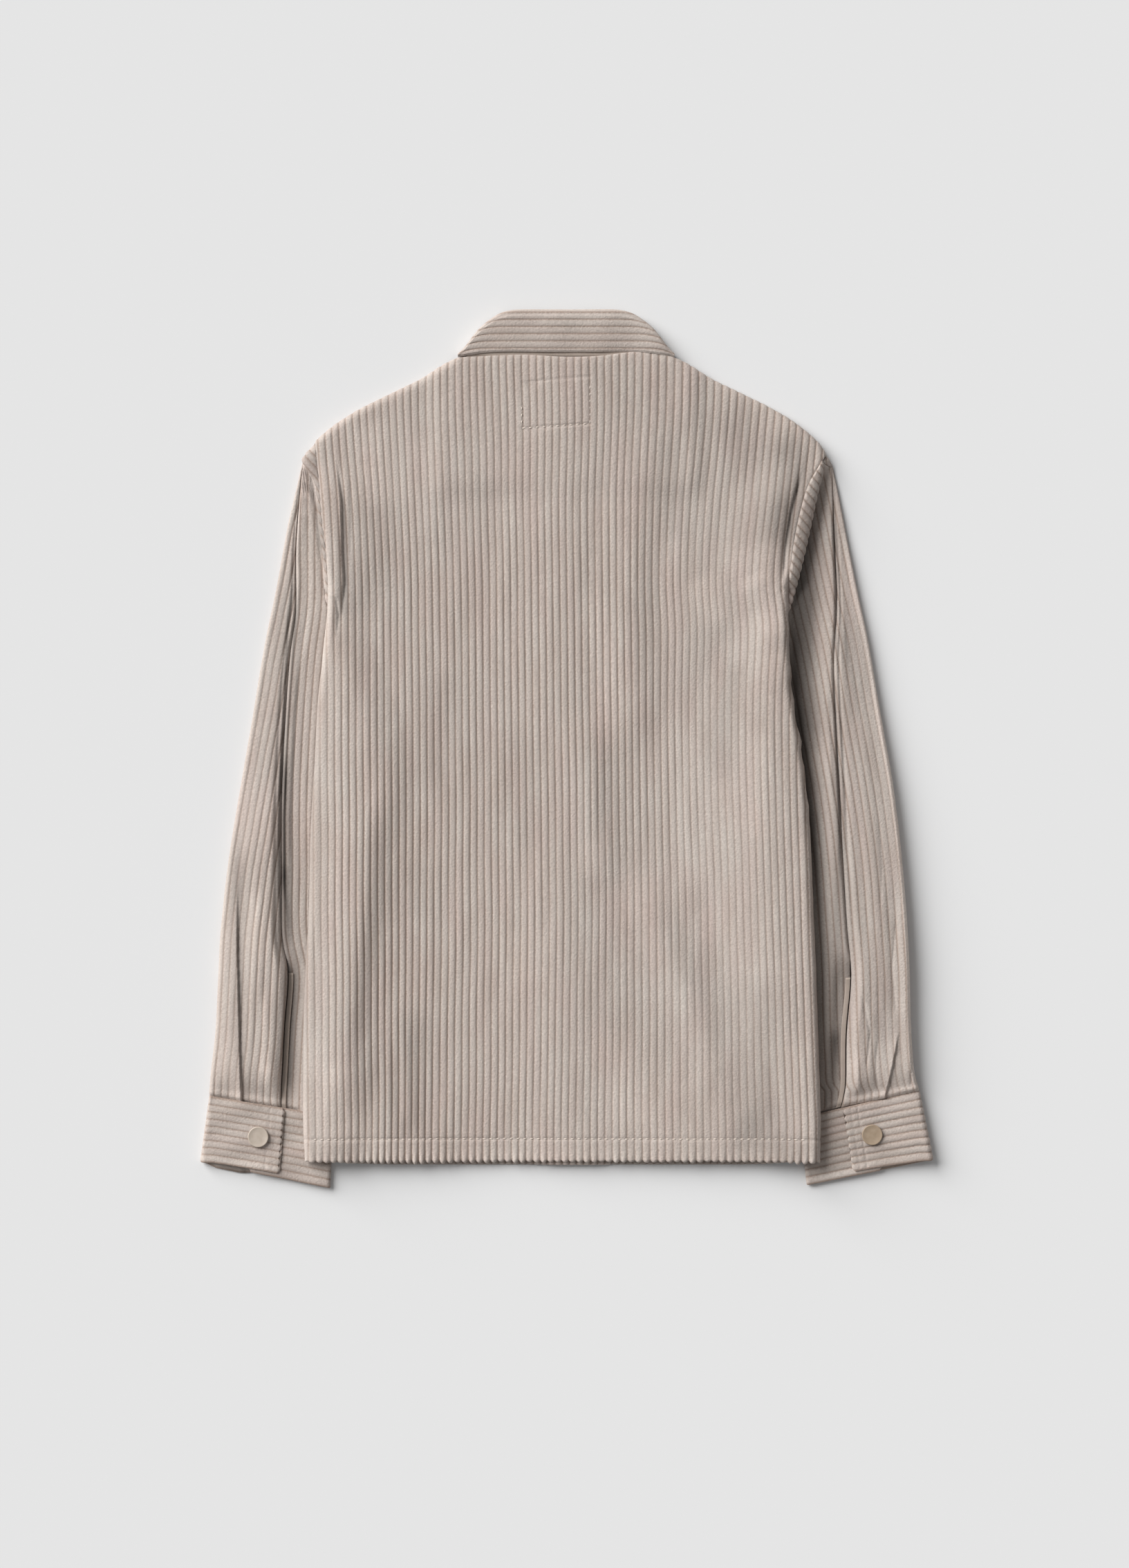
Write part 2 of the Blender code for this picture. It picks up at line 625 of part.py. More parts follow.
def sleeve_ring(side, rows, k):
    """One ring of a sleeve as points round it: seam, outer fold, floor, inner fold and back to the seam."""
    line = sleeve_line(side, rows, k)
    seam = rows[k].seam if k >= 0 else (0.05 if k == -2 else 0.10)
    length = sum((line((n + 1) / 20) - line(n / 20)).length for n in range(20))
    outer_z = sleeve_top_z(side, rows, k, 0.04, line(0.04), True)
    inner_z = sleeve_top_z(side, rows, k, 0.97, line(0.97), False)
    outer_r = min(0.5 * outer_z, 0.4 * seam * length)
    inner_r = 0.5 * inner_z
    slit = k >= len(rows) - SLIT_ROWS
    ring = []

    def add(key, f, z, lean, up, raised=0.0):
        place = line(f)
        ahead = line(min(1.0, f + 0.01)) - line(max(0.0, f - 0.01))
        ahead.normalize()
        normal = Vector((ahead.x * lean, ahead.y * lean, up)).normalized()
        under_back = side * ARMHOLE_TUCK * armhole_tuck(f) if k == -2 and up == 1.0 else 0.0
        ring.append(RingPoint(key, Vector((place.x - under_back, place.y, z)), normal, raised))

    # Upper layer from the seam out to the outer fold, with wales that run beside the outer edge
    half = WALE_PITCH / 2
    run = seam * length - outer_r
    columns = int(run / half - 0.4)
    top = sleeve_top_z
    gap = SEAM / length
    add(-100.0, seam - gap / 2, top(side, rows, k, seam, line(seam), True), 0.0, 1.0)
    for n in range(columns, 0, -1):
        f = (outer_r + n * half) / length
        fade = ramp((k + 1.2) / 1.0) * ramp((seam - f) * length / 0.004)
        add(-n, f, top(side, rows, k, f, line(f), True), 0.0, 1.0, WALE_HEIGHT * fade if n % 2 else 0.0)
    # Outer fold
    for step, angle in enumerate((90, 45, 0, -45, -90)):
        turn = math.radians(angle)
        f = outer_r * (1 - math.cos(turn)) / length
        add(step * 0.1, f, outer_z * (0.5 + 0.5 * math.sin(turn)), -math.cos(turn), math.sin(turn))
    # Floor
    first, last = outer_r / length, 1 - inner_r / length
    floor_shares = [step / 8 for step in range(1, 8)]
    if k == -2:
        floor_shares = armhole_shares(side, first, last)
    for share in floor_shares:
        add(1.0 + 8 * share, mix(first, last, share), 0.0, 0.0, -1.0)
    # Inner fold
    for step, angle in enumerate((-90, -45, 0, 45, 90)):
        turn = math.radians(angle)
        f = 1 - inner_r * (1 - math.cos(turn)) / length
        add(10.0 + step * 0.1, f, inner_z * (0.5 + 0.5 * math.sin(turn)), math.cos(turn), math.sin(turn))
    # Upper layer back to the seam, with wales where it shows beside the body
    run = (1 - seam) * length - inner_r
    count = int(run / half - 0.4)
    step = half / length
    if k < 0:
        # The cap's wales fan out from those of the first straight ring
        below = sleeve_line(side, rows, 0)
        reach = (1 - rows[0].seam) * (below(1.0) - below(0.0)).length - 0.5 * SLEEVE_TUCKED_Z
        count = int(reach / half - 0.4)
        step = (1 - seam - inner_r / length) / (count + 0.6)
    corners = armhole_shares(side, seam, 1.0) if k == -2 else []
    places = [(100.0 - n, seam + n * step, n) for n in range(count, 0, -1)]
    places += [(100.0 - share * (1 - seam) / step, mix(seam, 1.0, share), 0) for share in corners]
    for key, f, n in sorted(places):
        place = line(f)
        clear = abs(place.x) - abs(edge(side, place.y))
        if k >= 0 and n % 4 and clear < -0.004:
            continue
        fade = ramp((clear - 0.003) / 0.004) * (ramp((n - 1.5) / 2) if slit else 1.0)
        z = top(side, rows, k, f, place, False)
        add(key, f, z, 0.0, 1.0, WALE_HEIGHT * fade if n % 2 else 0.0)
    add(200.0, seam + gap / 2, top(side, rows, k, seam, line(seam), False), 0.0, 1.0)
    return ring


def make_sleeve(name, side, rows):
    """One sleeve: a sheet wrapped round and closed along its back seam, open at the vent."""
    outer = []
    inner = []
    for k in range(-2, len(rows)):
        ring = sleeve_ring(side, rows, k)
        outer.append([(p.key, p.place + p.normal * p.raised) for p in ring])
        kept = []
        for p in ring:
            upper = p.normal.z > 0.9 and abs(p.key) not in (100.0, 200.0)
            if k > -2 and upper and int(p.key) % 4:
                continue
            thickness = FLOOR_CLOTH if p.normal.z < 0 else GROUND
            kept.append((p.key, p.place - p.normal * thickness))
        inner.append(kept)
    return wall(name, outer, inner)


def make_vent_facing(name, side, rows):
    """Narrow bound edge that shows in the vent, laid on the sleeve beside the slit."""
    near, far = 0.0006, 0.0046
    lower, upper = 0.0003, 0.0013
    grids = ([], [])
    for k in range(len(rows) - SLIT_ROWS + 1, len(rows)):
        line = sleeve_line(side, rows, k)
        length = (line(1.0) - line(0.0)).length
        for grid, height in zip(grids, (upper, lower)):
            chain = []
            for key, reach in enumerate((near, far)):
                f = rows[k].seam + reach / length
                place = line(f)
                z = sleeve_top_z(side, rows, k, f, place, False)
                clear_of_cuff = 0.0006 if k == len(rows) - 1 else 0.0
                chain.append((key, Vector((place.x, place.y + clear_of_cuff, z + height))))
            grid.append(chain)
    return wall(name, grids[0], grids[1], STAND_COLOUR)


def cuff_path(plan):
    """Points (share across, mid height, lean, up, on top) along a cuff, from underlap end to overlap end."""
    path = []
    for share in (plan.under_end, 0.5, plan.over_end + 0.01, 0.72, 0.85, 0.97):
        path.append((share, CUFF_UNDER_MID, 0.0, 1.0, share > plan.over_end))
    inner_r = (CUFF_UNDER_MID - CUFF_FLOOR_MID) / 2
    for angle in (45, 0, -45):
        turn = math.radians(angle)
        z = CUFF_FLOOR_MID + inner_r * (1 + math.sin(turn))
        path.append((0.97 + 0.016 * math.cos(turn), z, math.cos(turn), math.sin(turn), False))
    for share in (0.97, 0.78, 0.6, 0.4, 0.22, 0.035):
        path.append((share, CUFF_FLOOR_MID, 0.0, -1.0, False))
    outer_top = 0.0054
    outer_r = (outer_top - CUFF_FLOOR_MID) / 2
    for angle in (-45, 0, 45):
        turn = math.radians(angle)
        z = CUFF_FLOOR_MID + outer_r * (1 + math.sin(turn))
        path.append((0.035 - 0.022 * math.cos(turn), z, -math.cos(turn), math.sin(turn), False))
    for share in (0.045, 0.12, 0.22, 0.33, 0.42, 0.52, plan.over_end):
        z = mix(outer_top, CUFF_OVER_MID, ramp((share - 0.03) / (plan.under_end - 0.08)))
        path.append((share, z, 0.0, 1.0, True))
    return path


def cuff_point(plan, share, across, z, skew):
    """Place on a cuff: share from outer to inner fold, across from the sleeve seam to the free edge."""
    outer = Vector(plan.seam_outer).lerp(Vector(plan.free_outer), across)
    inner = Vector(plan.seam_inner).lerp(Vector(plan.free_inner), across)
    place = outer.lerp(inner, share)
    return Vector((place.x, place.y + skew * across, z))


def make_cuff(name, plan):
    """One cuff: a doubled band, its wales running round it, overlapped and snapped."""
    outer = []
    inner = []
    path = cuff_path(plan)
    toward = (Vector(plan.seam_inner) - Vector(plan.seam_outer)).normalized()
    columns = 2 * CUFF_WALES
    for k, (share, z, lean, up, on_top) in enumerate(path):
        over = k >= len(path) - 7
        skew = OVERLAP_SKEW * ramp(share / plan.over_end) if over else 0.0
        normal = Vector((toward.x * lean, toward.y * lean, up)).normalized()
        chain = []
        for n in range(columns + 1):
            raised = CUFF_WALE_HEIGHT if n % 2 and on_top else 0.0
            place = cuff_point(plan, share, n / columns, z, skew)
            chain.append((n, place + normal * (CUFF_HALF_WALL + raised)))
        outer.append(chain)
        inner.append([
            (n, cuff_point(plan, share, n / columns, z, skew) - normal * CUFF_HALF_WALL)
            for n in range(0, columns + 1, 6)
        ])
    return wall(name, outer, inner)


CollarLine = namedtuple("CollarLine", "middle corner front")
FALL_FOLD = CollarLine(middle=(0.0, 0.3997), corner=(0.0655, 0.3982), front=(0.0060, 0.3180))
FALL_RIM = CollarLine(middle=(0.0, 0.3616), corner=(0.0990, 0.3577), front=(0.0800, 0.2750))
STAND_NECK = CollarLine(
    middle=(0.0, NECK_Y + SEAM), corner=(0.0915, NECK_Y + 2 * SEAM), front=(0.0030, 0.2932)
)
STAND_FOLD = CollarLine(middle=(0.0, 0.3945), corner=(0.0590, 0.3925), front=(0.0030, 0.3150))


def collar_stations(top_z, floor_z):
    """Stations (part, share, height, lean, up) from the middle of the back round to one front end."""
    mid = (top_z + floor_z) / 2
    radius = (top_z - floor_z) / 2
    stations = [("back", share, top_z, 0.0, 1.0) for share in (0.0, 0.25, 0.5, 0.75)]
    for angle in (90, 60, 30, 0, -30, -60, -90):
        turn = math.radians(angle)
        lean, up = math.cos(turn), math.sin(turn)
        stations.append(("roll", lean - 1, mid + radius * up, lean, up))
    stations += [("front", share, floor_z, 0.0, -1.0) for share in (0.3, 0.65, 1.0)]
    return stations


def collar_plan(line, part, share, roll_width):
    """Plan point on one edge line of the collar, on its +X half."""
    middle, corner, front = (Vector(point) for point in line)
    inset = Vector((-roll_width, 0.0))
    if part == "back":
        return middle.lerp(corner + inset, share)
    if part == "roll":
        return corner - inset * share
    return (corner + inset).lerp(front, share)


def make_collar_band(name, lines, levels, half_wall, wales, wale_height, fold_drop, colour):
    """A band round the neck: a back leaf on top, rolled over at the sides to front leaves on the floor."""
    half_band = collar_stations(*levels)
    stations = [(-1, s) for s in half_band[:0:-1]] + [(1, s) for s in half_band]
    toward = (Vector(lines[1].corner) - Vector(lines[0].corner)).normalized()
    square = Vector((-toward.y, toward.x))
    outer = []
    inner = []
    columns = 2 * wales
    roll_width = (levels[0] - levels[1]) * 0.62
    for mirror, (part, share, z, lean, up) in stations:
        normal = Vector((mirror * square.x * lean, square.y * lean, up)).normalized()
        raised_here = wale_height if part == "back" else 0.0
        chain = []
        for n in range(columns + 1):
            across = n / columns
            plan = collar_plan(lines[0], part, share, roll_width)
            plan = plan.lerp(collar_plan(lines[1], part, share, roll_width), across)
            drop = fold_drop * max(0.0, 1 - across * 8) ** 2 * (0.0 if part == "front" else 0.5 + 0.5 * up)
            place = Vector((mirror * plan.x, plan.y, z)) - normal * drop
            chain.append((n, place, raised_here if n % 2 else 0.0))
        outer.append([(n, place + normal * (half_wall + raised)) for n, place, raised in chain])
        inner.append([(n, place - normal * half_wall) for n, place, _ in chain if n % 4 == 0 or n == 1])
    return wall(name, outer, inner, colour)


def make_snap(name, x, y, z, softened):
    """Flat round snap cap, its underside at z; one that shows has a softened rim."""
    bm = bmesh.new()
    bmesh.ops.create_cone(
        bm, cap_ends=True, segments=20, radius1=SNAP_RADIUS, radius2=SNAP_RADIUS, depth=SNAP_THICKNESS
    )
    bmesh.ops.translate(bm, verts=bm.verts, vec=(x, y, z + SNAP_THICKNESS / 2))
    piece = finish(bm, name, SNAP_COLOUR, 0.45, 0.3)
    if softened:
        rim = piece.modifiers.new("softened rim", "BEVEL")
        rim.width = SNAP_RIM
        rim.segments = 1
        rim.limit_method = "ANGLE"
    return piece


def build():
    """All the pieces of the shirt."""
    for old in list(bpy.data.objects):
        bpy.data.objects.remove(old)
    bpy.context.scene.collection.children.link(bpy.data.collections.new(COLLECTION))
    make_back()
    make_front("front_left", -1)
    make_front("front_right", 1)
    arms = (("left", -1, LEFT_SLEEVE, LEFT_CUFF), ("right", 1, RIGHT_SLEEVE, RIGHT_CUFF))
    for label, side, rows, plan in arms:
        make_sleeve("sleeve_" + label, side, rows)
        make_vent_facing("vent_facing_" + label, side, rows)
        make_cuff("cuff_" + label, plan)
        cuff_top = CUFF_OVER_MID + CUFF_HALF_WALL + CUFF_WALE_HEIGHT
        make_snap("cuff_snap_" + label, *plan.snap, cuff_top + SEAM, True)
    make_collar_band(
        "collar_fall", (FALL_FOLD, FALL_RIM), (FALL_TOP_Z, FALL_FLOOR_Z), FALL_HALF_WALL,
        COLLAR_WALES, WALE_HEIGHT, 0.0022, CLOTH_COLOUR,
    )
    make_collar_band(
        "collar_stand", (STAND_FOLD, STAND_NECK), (STAND_TOP_Z, STAND_FLOOR_Z), STAND_HALF_WALL,
        4, 0.0, 0.0, STAND_COLOUR,
    )
    for number, y in enumerate(FRONT_SNAP_YS, 1):
        make_snap("front_snap_%d" % number, 0.0, y, 0.0, False)


build()
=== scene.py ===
"""Looks of a wide-wale corduroy overshirt, laid flat on its front with its sleeves tucked under its sides.

Metres, +Z up, the floor at z = 0, the collar towards +Y and the back uppermost. Left and right are
the wearer's, so left is -X. Each cut piece is a thin closed shell on the form of its solid: dense
rows of points whose columns follow the wales outside, plain coarse rows inside.
"""

import logging
import math
from dataclasses import dataclass
from enum import Enum
from functools import lru_cache
from typing import NamedTuple

import bmesh
import bpy
import numpy as np
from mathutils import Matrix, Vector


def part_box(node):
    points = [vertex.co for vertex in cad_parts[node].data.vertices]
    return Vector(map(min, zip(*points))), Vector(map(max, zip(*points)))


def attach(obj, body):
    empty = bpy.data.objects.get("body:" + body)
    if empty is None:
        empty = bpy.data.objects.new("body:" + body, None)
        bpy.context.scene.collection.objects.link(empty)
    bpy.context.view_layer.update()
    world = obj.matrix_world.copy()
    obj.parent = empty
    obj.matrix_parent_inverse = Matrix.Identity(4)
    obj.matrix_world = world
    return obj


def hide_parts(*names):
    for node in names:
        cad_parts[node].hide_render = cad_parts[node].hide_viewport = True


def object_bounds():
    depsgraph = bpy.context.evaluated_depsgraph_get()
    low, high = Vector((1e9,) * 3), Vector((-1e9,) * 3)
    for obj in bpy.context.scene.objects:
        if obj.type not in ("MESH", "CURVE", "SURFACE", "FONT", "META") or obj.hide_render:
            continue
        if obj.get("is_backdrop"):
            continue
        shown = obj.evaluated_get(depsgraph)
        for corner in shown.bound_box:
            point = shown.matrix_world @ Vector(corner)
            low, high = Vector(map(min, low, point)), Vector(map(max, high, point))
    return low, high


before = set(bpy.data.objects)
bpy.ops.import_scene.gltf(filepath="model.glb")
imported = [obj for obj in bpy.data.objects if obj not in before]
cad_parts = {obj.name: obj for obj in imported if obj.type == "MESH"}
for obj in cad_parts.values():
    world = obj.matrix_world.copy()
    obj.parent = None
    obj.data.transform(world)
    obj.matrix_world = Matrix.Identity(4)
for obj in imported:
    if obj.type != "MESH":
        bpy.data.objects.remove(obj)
CAD_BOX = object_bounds()

Array = np.ndarray
Socket = bpy.types.NodeSocket
LOG = logging.getLogger("overshirt")
UV_NAME = "cloth"
PAINTED_LIGHT_NAME = "nap"
WORN_NAME = "worn"
MM = 0.001

# Cloth sizes that several pieces share
PITCH = 0.00645             # from wale to wale
WALE_HEIGHT = 0.0009        # pile above the ground cloth
COLUMNS = 8                 # points across one wale
GROUND = 0.0014             # thickness of the ground cloth
FLOOR_CLOTH = 0.0016        # thickness of what lies pressed on the floor
SEAM = 0.0003
RIM_BEND = np.radians((60.0, 20.0, -20.0, -60.0))       # points round the free edge of a doubled piece
QUARTER = math.pi / 2       # a quarter turn


class Side(Enum):
    """The wearer's side, as the sign of x."""

    LEFT = -1
    RIGHT = 1

    @property
    def label(self) -> str:
        """Ending of this side's node names."""
        return self.name.lower()


class Slot(Enum):
    """Material slots of the record."""

    CORDUROY = "corduroy"
    LINING = "plain_lining"
    SNAP = "snap"


class RowKind(Enum):
    """Kinds of rows across the body, from the hem up."""

    FOLD = 1
    HEM = 2
    SHARE = 3
    ROLL = 4


def ramp(value: Array) -> Array:
    """Soft step from 0 to 1 while the value goes from 0 to 1."""
    value = np.clip(value, 0.0, 1.0)
    return value * value * (3.0 - 2.0 * value)


def rise(value: Array, start: float, length: float) -> Array:
    """Soft step up: 0 at the start, 1 a length further on."""
    return ramp((value - start) / length)


def descend(value: Array, end: float, length: float) -> Array:
    """Soft step down: 1 a length before the end, 0 at the end."""
    return ramp((end - value) / length)


def bell(value: Array, width: float) -> Array:
    """Bell curve, 1 in the middle."""
    return np.exp(-((value / width) ** 2))


def mix(a: Array, b: Array, share: Array) -> Array:
    """Value between a and b."""
    return a + (b - a) * share


def wale(phase: Array) -> Array:
    """Height across the wales, 0 in the valley at each whole number and 1 on the crest."""
    across = np.abs(2.0 * (phase - np.floor(phase)) - 1.0)
    return np.sqrt(np.clip(1.0 - across ** 2.2, 0.0, 1.0))


def lobe(phase: Array) -> Array:
    """Rounder height across the wales, as where their ends show."""
    return np.abs(np.sin(math.pi * phase))


def unit(vectors: Array) -> Array:
    """The same directions, each of length 1."""
    return vectors / np.linalg.norm(vectors, axis=-1, keepdims=True)


def joined(*parts: Array) -> Array:
    """Vectors from their parts, each part stretched to the shape of all."""
    return np.stack(np.broadcast_arrays(*parts), axis=-1)


def run_along(*parts: Array) -> Array:
    """Length run so far at each point of a line, from the parts of its points."""
    return np.concatenate(([0.0], np.cumsum(np.sqrt(sum(np.diff(part) ** 2 for part in parts)))))


def column_keys(phase: Array, step: int) -> Array:
    """Wale numbers of a row's columns: its two ends, and every step-th column between them."""
    clear = 0.3
    marks = np.arange(math.ceil(phase[0] * COLUMNS + clear), math.floor(phase[-1] * COLUMNS - clear) + 1)
    marks = marks[marks % step == 0]
    return np.concatenate(([phase[0]], marks / COLUMNS, [phase[-1]]))


def wander(x: Array, y: Array, seed: int, size: float) -> Array:
    """Slow uneven wave over a surface.

    Args:
        x: Places across, in metres.
        y: Places along, in metres.
        seed: Picks one of many such waves.
        size: About the length of one wave, in metres.

    Returns:
        Values between about -1 and 1.
    """
    random = np.random.default_rng(seed)
    total = np.zeros(np.broadcast(x, y).shape)
    for _ in range(5):
        turn, start = random.uniform(0.0, 2.0 * math.pi, 2)
        length = size * random.uniform(0.6, 1.6)
        total = total + np.sin(2.0 * math.pi * (x * math.cos(turn) + y * math.sin(turn)) / length + start)
    return total / 3.0


class SoftCurve:
    """Soft curve through pairs of numbers, flat past its ends."""

    def __init__(self, pairs: list[tuple[float, float]]) -> None:
        """Keep the pairs in order, with a slope at each."""
        self.xs, self.ys = np.array(sorted(pairs), dtype=float).T
        chords = np.diff(self.ys) / np.diff(self.xs)
        self.slopes = np.concatenate(([chords[0]], (chords[1:] + chords[:-1]) / 2, [chords[-1]]))

    def __call__(self, x: Array) -> Array:
        """Height of the curve at x."""
        x = np.clip(x, self.xs[0], self.xs[-1])
        k = np.clip(np.searchsorted(self.xs, x) - 1, 0, len(self.xs) - 2)
        width = self.xs[k + 1] - self.xs[k]
        t = (x - self.xs[k]) / width
        height = self.ys[k] * (1 + 2 * t) * (1 - t) ** 2 + self.ys[k + 1] * t * t * (3 - 2 * t)
        return height + width * (self.slopes[k] * t * (1 - t) ** 2 - self.slopes[k + 1] * t * t * (1 - t))


@dataclass(frozen=True)
class Crease:
    """A soft trough or ridge along a line, all in millimetres; a trough's height is below zero."""

    line: tuple[tuple[float, float], ...]
    height: float
    width: float
    sharp: bool = False

    def height_at(self, x: Array, y: Array) -> Array:
        """Height that this crease adds at points in metres."""
        points = np.array(self.line) * MM
        lengths = np.hypot(*np.diff(points, axis=0).T)
        run = np.concatenate(([0.0], np.cumsum(lengths)))
        nearest = np.full(np.broadcast(x, y).shape, np.inf)
        place = np.zeros(nearest.shape)
        for k, length in enumerate(lengths):
            along = (points[k + 1] - points[k]) / length
            t = np.clip((x - points[k, 0]) * along[0] + (y - points[k, 1]) * along[1], 0.0, length)
            away = np.hypot(x - points[k, 0] - along[0] * t, y - points[k, 1] - along[1] * t)
            place = np.where(away < nearest, (run[k] + t) / run[-1], place)
            nearest = np.minimum(nearest, away)
        ends = rise(place, -0.02, 0.22) * descend(place, 1.02, 0.22)
        across = nearest / (self.width * MM)
        profile = np.exp(-1.6 * across) if self.sharp else np.exp(-across * across)
        return self.height * MM * profile * ends


@dataclass(frozen=True)
class Pleat:
    """A fold with a sharp edge, in millimetres: its edge from the top down, and how far its lip stands up."""

    line: tuple[tuple[float, float], ...]
    rise: float
    reach: float
    fades: bool = False             # whether its lower end runs out in the cloth
    lip: float = 0.7                # width of the step at its edge
    end: float = 0.35               # share of its length in which an end runs out

    def height_at(self, x: Array, y: Array) -> Array:
        """Height that the pleat's lip adds at points in metres, left of its edge."""
        points = np.array(self.line) * MM
        share = np.clip((points[0, 1] - y) / (points[0, 1] - points[-1, 1]), 0.0, 1.0)
        edge = np.interp(-y, -points[:, 1], points[:, 0])
        past = (x - edge) / (self.reach * MM)
        lip = np.where(past < 0, np.exp(past), -0.5 * np.exp(-past * 2.2))
        step = ramp(np.abs(past) * self.reach / self.lip)
        ends = ramp(share / self.end) * (ramp((1 - share) / self.end) if self.fades else 1.0)
        return self.rise * MM * lip * step * ends


def relief(creases: tuple[Crease, ...], x: Array, y: Array) -> Array:
    """Sum of the creases at points in metres."""
    total = np.zeros(np.broadcast(x, y).shape)
    for crease in creases:
        total = total + crease.height_at(x, y)
    return total


def zone_share(zones: tuple[Crease, ...], x: Array, y: Array) -> Array:
    """Sum of zones at points in metres, where a zone's height is a share and not millimetres."""
    return relief(zones, x, y) / MM


@dataclass
class Row:
    """One row of points of a shell: its place among the rows, and its points in growing order of keys."""

    at: float
    keys: Array
    points: Array
    uv: Array


class Shell:
    """A mesh under construction, of triangles zipped between rows of points."""

    def __init__(self) -> None:
        """Start with nothing."""
        self.points: list[Array] = []
        self.uvs: list[Array] = []
        self.faces: list[Array] = []
        self.count = 0

    def add(self, points: Array, uv: Array) -> Array:
        """Add points with their cloth coordinates, and return their numbers."""
        self.points.append(points.reshape(-1, 3))
        self.uvs.append(uv.reshape(-1, 2))
        ids = np.arange(self.count, self.count + self.points[-1].shape[0])
        self.count += len(ids)
        return ids

    def zip(self, keys_a: Array, ids_a: Array, keys_b: Array, ids_b: Array) -> None:
        """Triangles between two chains, by always stepping along the one whose next key is smaller.

        Args:
            keys_a: Growing keys of the first chain.
            ids_a: Its point numbers.
            keys_b: Growing keys of the second chain.
            ids_b: Its point numbers.
        """
        steps = np.concatenate((keys_a[1:], keys_b[1:]))
        order = np.argsort(steps, kind="stable")
        on_a = order < len(keys_a) - 1
        i = np.cumsum(on_a)
        j = np.cumsum(~on_a)
        corner = np.where(on_a, ids_a[i], ids_b[j])
        self.faces.append(np.stack((ids_a[i - on_a], corner, ids_b[j - ~on_a]), axis=1))

    def wall(self, outer: list[Row], inner: list[Row]) -> "Shell":
        """Closed wall between outer rows and inner rows; returns this shell."""
        ends = []
        rims = []
        for rows in (outer, inner):
            ids = [self.add(row.points, row.uv) for row in rows]
            for a, b, ids_a, ids_b in zip(rows, rows[1:], ids, ids[1:]):
                self.zip(a.keys, ids_a, b.keys, ids_b)
            places = np.array([row.at for row in rows])
            rims.append([(places, np.array([chain[end] for chain in ids])) for end in (0, -1)])
            ends.append([(rows[end].keys, ids[end]) for end in (0, -1)])
        for k in (0, 1):
            self.zip(*rims[0][k], *rims[1][k])
            self.zip(*ends[0][k], *ends[1][k])
        return self

    def tube(self, points: Array, uv: Array) -> "Shell":
        """Closed tube.

        Args:
            points: Rings of points, as stations by points round each by 3.
            uv: Their cloth coordinates.

        Returns:
            This shell.
        """
        stations, around = points.shape[:2]
        ids = self.add(points, uv).reshape(stations, around)
        ring = np.concatenate((ids, ids[:, :1]), axis=1)
        a, b, c, d = ring[:-1, :-1], ring[:-1, 1:], ring[1:, 1:], ring[1:, :-1]
        for corners in ((a, b, c), (a, c, d)):
            self.faces.append(np.stack(corners, axis=-1).reshape(-1, 3))
        for end in (0, -1):
            middle = self.add(points[end].mean(axis=0)[None], uv[end].mean(axis=0)[None])
            self.faces.append(np.stack((ring[end, :-1], ring[end, 1:], np.full(around, middle[0])), axis=1))
        return self

    def to_object(
        self, name: str, nap: tuple[Crease, ...] = (), worn: tuple[Crease, ...] = ()
    ) -> bpy.types.Object:
        """New smooth object with faces outward, linked to the scene.

        Args:
            name: Name of the object.
            nap: Zones of painted light and shade on the cloth; their heights are shares of its lightness.
            worn: Zones where the pile is rubbed low, with shallow valleys and less painted shade in them; their
                heights are shares.

        Returns:
            The object.
        """
        faces = np.concatenate(self.faces)
        places = np.concatenate(self.points)
        mesh = bpy.data.meshes.new(name)
        mesh.from_pydata(places, [], faces)
        uv = np.concatenate(self.uvs)
        layer = mesh.uv_layers.new(name=UV_NAME)
        layer.data.foreach_set("uv", uv[faces.ravel()].astype(np.float32).ravel())
        # Attributes: the painted light and shade, and the worn pile
        for label, zones in ((PAINTED_LIGHT_NAME, nap), (WORN_NAME, worn)):
            shares = mesh.attributes.new(label, "FLOAT", "POINT")
            shares.data.foreach_set("value", zone_share(zones, places[:, 0], places[:, 1]))
        work = bmesh.new()
        work.from_mesh(mesh)
        bmesh.ops.recalc_face_normals(work, faces=work.faces)
        work.to_mesh(mesh)
        work.free()
        mesh.polygons.foreach_set("use_smooth", np.ones(len(mesh.polygons), dtype=bool))
        mesh.update()
        piece = bpy.data.objects.new(name, mesh)
        bpy.context.scene.collection.objects.link(piece)
        return piece


# Finishes

def linear(colour: str) -> tuple[float, float, float, float]:
    """Linear RGBA of an sRGB hex colour."""
    channels = [int(colour[k:k + 2], 16) / 255 for k in (1, 3, 5)]
    red, green, blue = [c / 12.92 if c <= 0.04045 else ((c + 0.055) / 1.055) ** 2.4 for c in channels]
    return (red, green, blue, 1.0)


